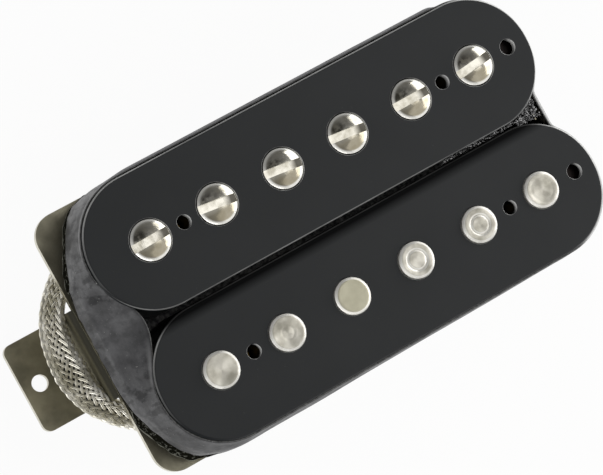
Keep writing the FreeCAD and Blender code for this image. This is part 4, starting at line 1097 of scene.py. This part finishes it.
def turned_finish(
    name, dull, light, *, roughness, ring_step, ring_depth, blotch, waved, rim, brushed=0.0, reflected_shade=0.0
):
    """A lathe-turned metal: fine rings about the piece's own axis under soft blotches.

    ring_step and blotch are the rings' spacing and the blotches' size in millimetres. rim is the
    upward part of the normal, from and to, over which the edges are painted bright as a highlight;
    the last argument sets painted reflections and shadow on the head and at the +X end of its slot.
    """
    finish, add, shader, place = new_finish(name)
    turned = add("Attribute", attribute_name="turned_place").outputs["Vector"]
    away, flat = axis_distance(add, turned)
    rings = add("CombineXYZ", {"X": away})
    rings = add("TexNoise", pattern(rings, ring_step, Detail=2.0))
    cloud = add("TexNoise", pattern(place, blotch, Detail=5.0))
    tint = add("ValToRGB", cloud)
    set_ramp(tint, ((0.35, dull), (0.6, light)))
    facing = add("SeparateXYZ", add("NewGeometry").outputs["Normal"])
    facing_x, facing_y, facing_z = facing.outputs
    # Painted highlight: the rim, where the normal tips over, is painted near white.
    rim_highlight = add("MapRange", facing_z, *rim)
    paints = [(rim_highlight, "#FFFDF6")]
    if reflected_shade:
        x, _, z = add("SeparateXYZ", turned).outputs
        patchy = add("TexNoise", pattern(place, 0.7, Detail=5.0))
        patchy = add("MapRange", patchy, 0.4, 0.58, 0.35, reflected_shade)
        # Painted dark reflection on the +Y side of the dome, most of all towards -X, and at its -X rim.
        dark_reflection = add("MapRange", facing_y, 0.04, 0.14)
        left = add("MapRange", x, 1.2 * MM, -0.8 * MM, 0.2, 1.0)
        inward = add("MapRange", facing_y, 0.24, 0.42, 1.0, 0.2)
        for mask in (left, inward):
            dark_reflection = add("Math MULTIPLY", dark_reflection, mask)
        near_rim_shade = add("MapRange", facing_x, -0.12, -0.35, 0.0, 0.5)
        dark_reflection = add("Math MAXIMUM", dark_reflection, near_rim_shade)
        dark_reflection = add("Math MULTIPLY", dark_reflection, patchy)
        # Painted shadow: the floor of the slot is dark at its +X end.
        slot_end_shadow = add("MapRange", x, 0.9 * MM, 1.9 * MM, 0.0, 0.9)
        sunk = add("Math LESS_THAN", z, 1.12 * MM)
        level = add("Math GREATER_THAN", facing_z, 0.95)
        for mask in (sunk, level):
            slot_end_shadow = add("Math MULTIPLY", slot_end_shadow, mask)
        dark_reflection = add("Math MAXIMUM", dark_reflection, slot_end_shadow)
        # Painted reflection: the dome's -Y side is painted beige.
        beige_reflection = add("MapRange", facing_y, -0.03, -0.2, 0.0, 0.75)
        paints = [(beige_reflection, "#A2987F"), (dark_reflection, "#35322B"), *paints]
    for share, paint in paints:
        tint = add("Mix", {"Factor": share, "A": tint, "B": colour(paint)}, data_type="RGBA")
    rough = add("MapRange", cloud, 0.3, 0.7, roughness * 1.5, roughness * 0.8)
    worn = add("Math MULTIPLY", rim_highlight, 0.28)
    rough = add("Math MAXIMUM", rough, worn)
    wave = add("Bump", {"Height": cloud, "Strength": 0.5, "Distance": waved * MM})
    cut = {"Height": rings, "Strength": 0.5, "Distance": ring_depth * MM, "Normal": wave}
    feed(shader, {"Base Color": tint, "Roughness": rough, "Normal": add("Bump", cut)})
    feed(shader, {"Tangent": flat, "Anisotropic": brushed, "Metallic": 1.0})
    return finish


def screw(name, node, kind, turn, place, finish):
    """One screw from the tree, its head's and slot's edges broken, in its CAD node's place."""
    values = {size: kinds[kind] * MM for size, kinds in SCREW_SIZES.items()}
    values.update({"Turn": turn, "Place": metres(place), "Finish": finish})
    made = grow(name, screw_tree, values)
    bevel = made.modifiers.new("broken edges", "BEVEL")
    bevel.limit_method = "WEIGHT"
    bevel.width = RIM_EDGE * MM
    bevel.segments = 3
    dress(made, node, node)


# Bright nickel plate over steel: warm silver, polished by hands, with soft scratches.
nickel_plate = turned_finish(
    "nickel plated steel", "#B8B3A4", "#E6E2D6", roughness=0.12, ring_step=0.16, ring_depth=0.012,
    blotch=1.4, waved=0.05, rim=(0.9, 0.83), reflected_shade=0.9,
)
# Yellow brass, bright from the screw machine and only a little browned.
turned_brass = turned_finish(
    "turned brass", "#A98743", "#D9B65F", roughness=0.25, ring_step=0.12, ring_depth=0.01,
    blotch=1.0, waved=0.03, rim=(-2.0, -3.0), brushed=0.4,
)

pole_places = [(index - (len(SCREW_TURNS) - 1) / 2) * POLE_PITCH for index in range(len(SCREW_TURNS))]
for index, (x, turned) in enumerate(zip(pole_places, SCREW_TURNS), start=1):
    turn = (0.0, 0.0, math.radians(turned))
    place = (x, ROW_Y, HEAD_SEAT)
    screw(f"slotted_pole_screw_{index}", f"pole_screw_{index}", 0, turn, place, nickel_plate)

fixing_places = [(a * 2 * POLE_PITCH, b * ROW_Y, PLATE_UNDERSIDE) for b in (1, -1) for a in (-1, 1)]
for index, place in enumerate(fixing_places, start=1):
    turn = (math.pi, 0.0, math.radians(37 * index))
    screw(f"brass_fixing_screw_{index}", f"bobbin_fixing_screw_{index}", 1, turn, place, turned_brass)

# Slugs
# Six plain steel slugs pressed through the other bobbin, chamfered at both ends. The lathe left
# some tops dished, some flat, and two with a ring groove round a raised middle.
SLUG_TOP = 29.1
SLUG_SIZES = {"Radius": 2.4, "Length": 12.7, "Chamfer": 0.5}
CHAMFER_DROP = 0.28
GROOVE_WIDTH = 0.18
SLUG_SIDES = 64
SLUG_RINGS = 28
# Dish depth, groove depth and groove radius of each.
SLUG_TOPS = (
    (0.1, 0.0, 1.0),
    (0.12, 0.05, 0.8),
    (0.0, 0.0, 1.0),
    (0.06, 0.16, 1.3),
    (0.06, 0.16, 1.25),
    (0.08, 0.03, 1.5),
)
# Tree: a drum whose top sinks to a dish with a groove in it, and whose rims are rounded off.
slug_floats = (*SLUG_SIZES, "Dish", "Groove", "Groove Radius")
slug_tree, add, sizes = new_tree("turned slug", slug_floats, {"Place": "Vector"})
drum = {"Radius": sizes["Radius"], "Depth": sizes["Length"]}
drum.update({"Vertices": SLUG_SIDES, "Fill Segments": SLUG_RINGS})
drum = add("MeshCylinder", drum, fill_type="TRIANGLE_FAN")
from_axis, _ = axis_distance(add, add("InputPosition"))
inside = add("Math SUBTRACT", sizes["Radius"], sizes["Chamfer"])
past = add("Math SUBTRACT", from_axis, inside)
past = add("Math MAXIMUM", past, 0.0)
past = add("Math DIVIDE", past, sizes["Chamfer"])
past = add("Math POWER", past, 2.0)
past = add("Math MULTIPLY", past, CHAMFER_DROP * MM)
share = add("Math DIVIDE", from_axis, inside)
share = add("Math POWER", share, 2.0)
share = add("Math SUBTRACT", 1.0, share, use_clamp=True)
dish = add("Math MULTIPLY", share, sizes["Dish"])
off = add("Math SUBTRACT", from_axis, sizes["Groove Radius"])
off = add("Math DIVIDE", off, GROOVE_WIDTH * MM)
off = add("Math POWER", off, 2.0)
off = add("Math MULTIPLY", off, -1.0)
bell = add("Math EXPONENT", off)
groove = add("Math MULTIPLY", bell, sizes["Groove"])
down = past
for sunk in (dish, groove):
    down = add("Math ADD", down, sunk)
down = add("Math MULTIPLY", down, -1.0)
shaped = drum
for end, move in (("Top", down), ("Bottom", past)):
    move = add("CombineXYZ", {"Z": move})
    shaped = {"Geometry": shaped, "Selection": drum.outputs[end], "Offset": move}
    shaped = add("SetPosition", shaped)
middle = add("Math MULTIPLY", sizes["Length"], -0.5)
shaped = raised(add, keep_places(add, shaped), middle)
shaped = add("Transform", {"Geometry": shaped, "Translation": sizes["Place"]})
end_tree(add, shaped, sizes)

# Turned mild steel with a thin nickel flash: satin beige grey, ringed by the tool.
satin_steel = turned_finish(
    "turned satin steel", "#CCC8BA", "#E4E0D4", roughness=0.42, ring_step=0.2, ring_depth=0.02,
    blotch=1.8, waved=0.008, rim=(0.955, 0.88), brushed=0.9,
)
# One top was ground flat after turning: an even beige grey.
ground_steel = turned_finish(
    "ground satin steel", "#BCB8A3", "#C4C0AA", roughness=0.5, ring_step=0.25, ring_depth=0.006,
    blotch=3.0, waved=0.003, rim=(0.96, 0.88),
)
for index, (x, (dish, groove, groove_radius)) in enumerate(zip(pole_places, SLUG_TOPS), start=1):
    values = {**SLUG_SIZES, "Dish": dish, "Groove": groove, "Groove Radius": groove_radius}
    values = {size: value * MM for size, value in values.items()}
    values["Place"] = metres((x, -ROW_Y, SLUG_TOP))
    values["Finish"] = satin_steel if dish else ground_steel
    made = grow(f"steel_slug_{index}", slug_tree, values, crease=24.0)
    dress(made, f"slug_{index}", f"slug_{index}")

# Solder and inner wires
# The braid is soldered to the plate. Its inner wire goes up through the plate to a sleeved
# splice, and thin wires join that to one coil and that coil to the other.
WIRE_LEVEL = 17.0
WIRE_TOP = 19.6
WIRE_Y = 14.09
WIRE_HOLE_X = 30.2
LINK_X = 32.85
LINK_Y = 6.8
WIRES = {
    # node: (piece, diameter, bend radius, points)
    "lead_core_wire": (
        "cloth_covered_wire",
        1.2,
        1.5,
        [LEAD_ROUTE[0], (-6.0, WIRE_Y, 12.67), (-6.0, WIRE_Y, WIRE_LEVEL), (8.0, WIRE_Y, WIRE_LEVEL)],
    ),
    "coil_lead_wire": (
        "screw_coil_wire",
        0.9,
        1.2,
        [
            (17.0, WIRE_Y, WIRE_LEVEL),
            (WIRE_HOLE_X, WIRE_Y, WIRE_LEVEL),
            (WIRE_HOLE_X, ROW_Y, WIRE_LEVEL),
            (WIRE_HOLE_X, ROW_Y, WIRE_TOP),
        ],
    ),
    "coil_link_wire": (
        "series_link_wire",
        0.9,
        1.2,
        [
            (WIRE_HOLE_X, -ROW_Y, WIRE_TOP),
            (WIRE_HOLE_X, -ROW_Y, WIRE_LEVEL),
            (LINK_X, -ROW_Y, WIRE_LEVEL),
            (LINK_X, LINK_Y, WIRE_LEVEL),
            (WIRE_HOLE_X, LINK_Y, WIRE_LEVEL),
            (WIRE_HOLE_X, LINK_Y, WIRE_TOP),
        ],
    ),
}
# Tree: a round section swept along a line whose corners are rounded.
wire_tree, add, sizes = new_tree("bent wire", ("Radius", "Bend"), {})
run = add("MeshToCurve", sizes["Geometry"])
run = {"Curve": run, "Radius": sizes["Bend"], "Count": 8, "Limit Radius": True}
run = add("FilletCurve", run, mode="POLY")
section = add("CurvePrimitiveCircle", {"Resolution": 16, "Radius": sizes["Radius"]}).outputs["Curve"]
run = add("CurveToMesh", {"Curve": run, "Profile Curve": section, "Fill Caps": True})
end_tree(add, run, sizes)

# Waxed cotton over the wire: black, softly shining, with the braid of the cover as fine bumps.
waxed_cloth, add, shader, place = new_finish("waxed cotton wire cover")
weave = add("TexVoronoi", pattern(place, 0.22))
tint = add("ValToRGB", weave)
set_ramp(tint, ((0.1, "#3A3938"), (0.7, "#161616")))
bump = add("Bump", {"Height": weave, "Strength": 0.6, "Distance": 0.05 * MM}, invert=True)
feed(shader, {"Base Color": tint, "Normal": bump, "Roughness": 0.55})

for node, (name, diameter, bend, points) in WIRES.items():
    line = bpy.data.meshes.new(name)
    edges = [(index, index + 1) for index in range(len(points) - 1)]
    line.from_pydata([metres(point) for point in points], edges, [])
    values = {"Radius": diameter / 2 * MM, "Bend": bend * MM, "Finish": waxed_cloth}
    dress(grow(name, wire_tree, values, start=line), node, node)

# Shrunk sleeve: plain black, a little glossy.
shrunk_sleeve = mottled(
    "shrunk plastic sleeve", (0.3, "#141414"), (0.7, "#202020"),
    grain=1.2, detail=2.0, roughness=0.3, relief=(0.5, 0.2),
)
skin("splice_sleeve", "splice_cover", shrunk_sleeve, 0.25)

# Tin-lead solder: bright where it froze smooth, grey and grainy at its rim.
soft_solder = mottled(
    "tin-lead solder", (0.35, "#8D8D8F"), (0.65, "#C4C4C6"),
    grain=0.7, detail=5.0, roughness=(0.45, 0.18), relief=(0.6, 0.25), metallic=1.0,
)
skin("solder_joint", "braid_solder", soft_solder, 0.2)

# Potting wax
# The coils were dipped in wax. Black lumps stand in the hollow between the bobbins' far ends as
# painted shade, and grey crumbs of wax, mixed with dust, cling along the gap.
WAX_SEED = 11
# name: (count, X from and to, Y from and to, Z from and to, radius from and to)
WAX_HEAPS = {
    "wax_in_hollow": (34, (28.6, 31.9), (-2.6, 3.2), (18.6, 22.6), (0.6, 1.0)),
    "wax_crumbs_end": (420, (27.2, 30.2), (-0.7, 2.0), (25.6, 27.7), (0.05, 0.14)),
    "wax_crumbs_gap": (260, (15.0, 28.5), (-0.1, 0.3), (26.8, 27.9), (0.03, 0.1)),
}
# Tree: lumps at random places in a box, their surfaces pushed in and out by a noise.
wax_tree, add, sizes = new_tree(
    "wax heap",
    ("Small", "Large"),
    {"Count": "Int", "Low Corner": "Vector", "High Corner": "Vector", "Seed": "Int"},
)
dots = add("Points", {"Count": sizes["Count"]})
where = {0: sizes["Low Corner"], 1: sizes["High Corner"], "Seed": sizes["Seed"]}
where = add("RandomValue", where, data_type="FLOAT_VECTOR").outputs[0]
dots = add("SetPosition", {"Geometry": dots, "Position": where})
lump = add("MeshIcoSphere", {"Radius": 1.0, "Subdivisions": 2})
size = {2: sizes["Small"], 3: sizes["Large"], "Seed": sizes["Seed"]}
size = add("RandomValue", size, data_type="FLOAT").outputs[1]
heap = add("InstanceOnPoints", {"Points": dots, "Instance": lump, "Scale": size})
heap = add("RealizeInstances", {"Geometry": heap})
push = add("TexNoise", {"Scale": 1 / (0.22 * MM), "Detail": 3.0})
push = add("Math SUBTRACT", push, 0.5)
for share in (sizes["Large"], 2.0):
    push = add("Math MULTIPLY", push, share)
push = add("VectorMath SCALE", {0: add("InputNormal"), 3: push})
end_tree(add, add("SetPosition", {"Geometry": heap, "Offset": push}), sizes)

# The black lumps are painted shade and shine softly; the crumbs are grey with dust.
black_shade_lumps = mottled(
    "black lumps for painted shade", (0.35, "#060606"), (0.75, "#1A1A1A"), grain=0.8, detail=3.0, roughness=0.5
)
dusty_wax = mottled(
    "dusty grey wax", (0.4, "#5A5A5A"), (0.62, "#E4E4E4"), grain=0.5, detail=4.0, roughness=0.6
)
for name, (count, run_x, run_y, run_z, radii) in WAX_HEAPS.items():
    low_corner, high_corner = zip(run_x, run_y, run_z)
    values = {
        "Count": count,
        "Low Corner": metres(low_corner),
        "High Corner": metres(high_corner),
        "Small": radii[0] * MM,
        "Large": radii[1] * MM,
        "Seed": WAX_SEED,
        "Finish": black_shade_lumps if name == "wax_in_hollow" else dusty_wax,
    }
    dress(grow(name, wax_tree, values, crease=60.0), "slug_coil_tape")

# The lead's tie and bare end
# A soft plastic band holds the coil. At the end the shield is cut back from its inner wire,
# whose cover is stripped off the last few millimetres of twisted strands.
STRIP_X = 0.95
soft_band = mottled(
    "soft plastic band", (0.3, "#1B1B1B"), (0.7, "#2B2B2B"),
    grain=0.8, detail=3.0, roughness=0.45, relief=(0.3, 0.1),
)
band = skin("lead_tie", "lead_band", soft_band, 0.1)

# Inner wire: black cloth as far as the cut, then bright twisted strands.
end_strands, add, shader, place = new_finish("cloth cover and tinned strands")
bare = add("Math LESS_THAN", add("SeparateXYZ", place), STRIP_X * MM)
lay = pattern(place, 0.35 * WAVE_LINES, Distortion=0.5)
lay = add("TexWave", lay, bands_direction="DIAGONAL").outputs["Fac"]
tint = add("Mix", {"Factor": bare, "A": colour("#191919"), "B": colour("#C9C6BC")}, data_type="RGBA")
bump = add("Bump", {"Height": lay, "Strength": 0.7, "Distance": 0.08 * MM})
feed(shader, {"Base Color": tint, "Metallic": bare, "Normal": bump, "Roughness": 0.42})
end_wire = skin("lead_end_conductor", "lead_end_wire", end_strands, 0.06)
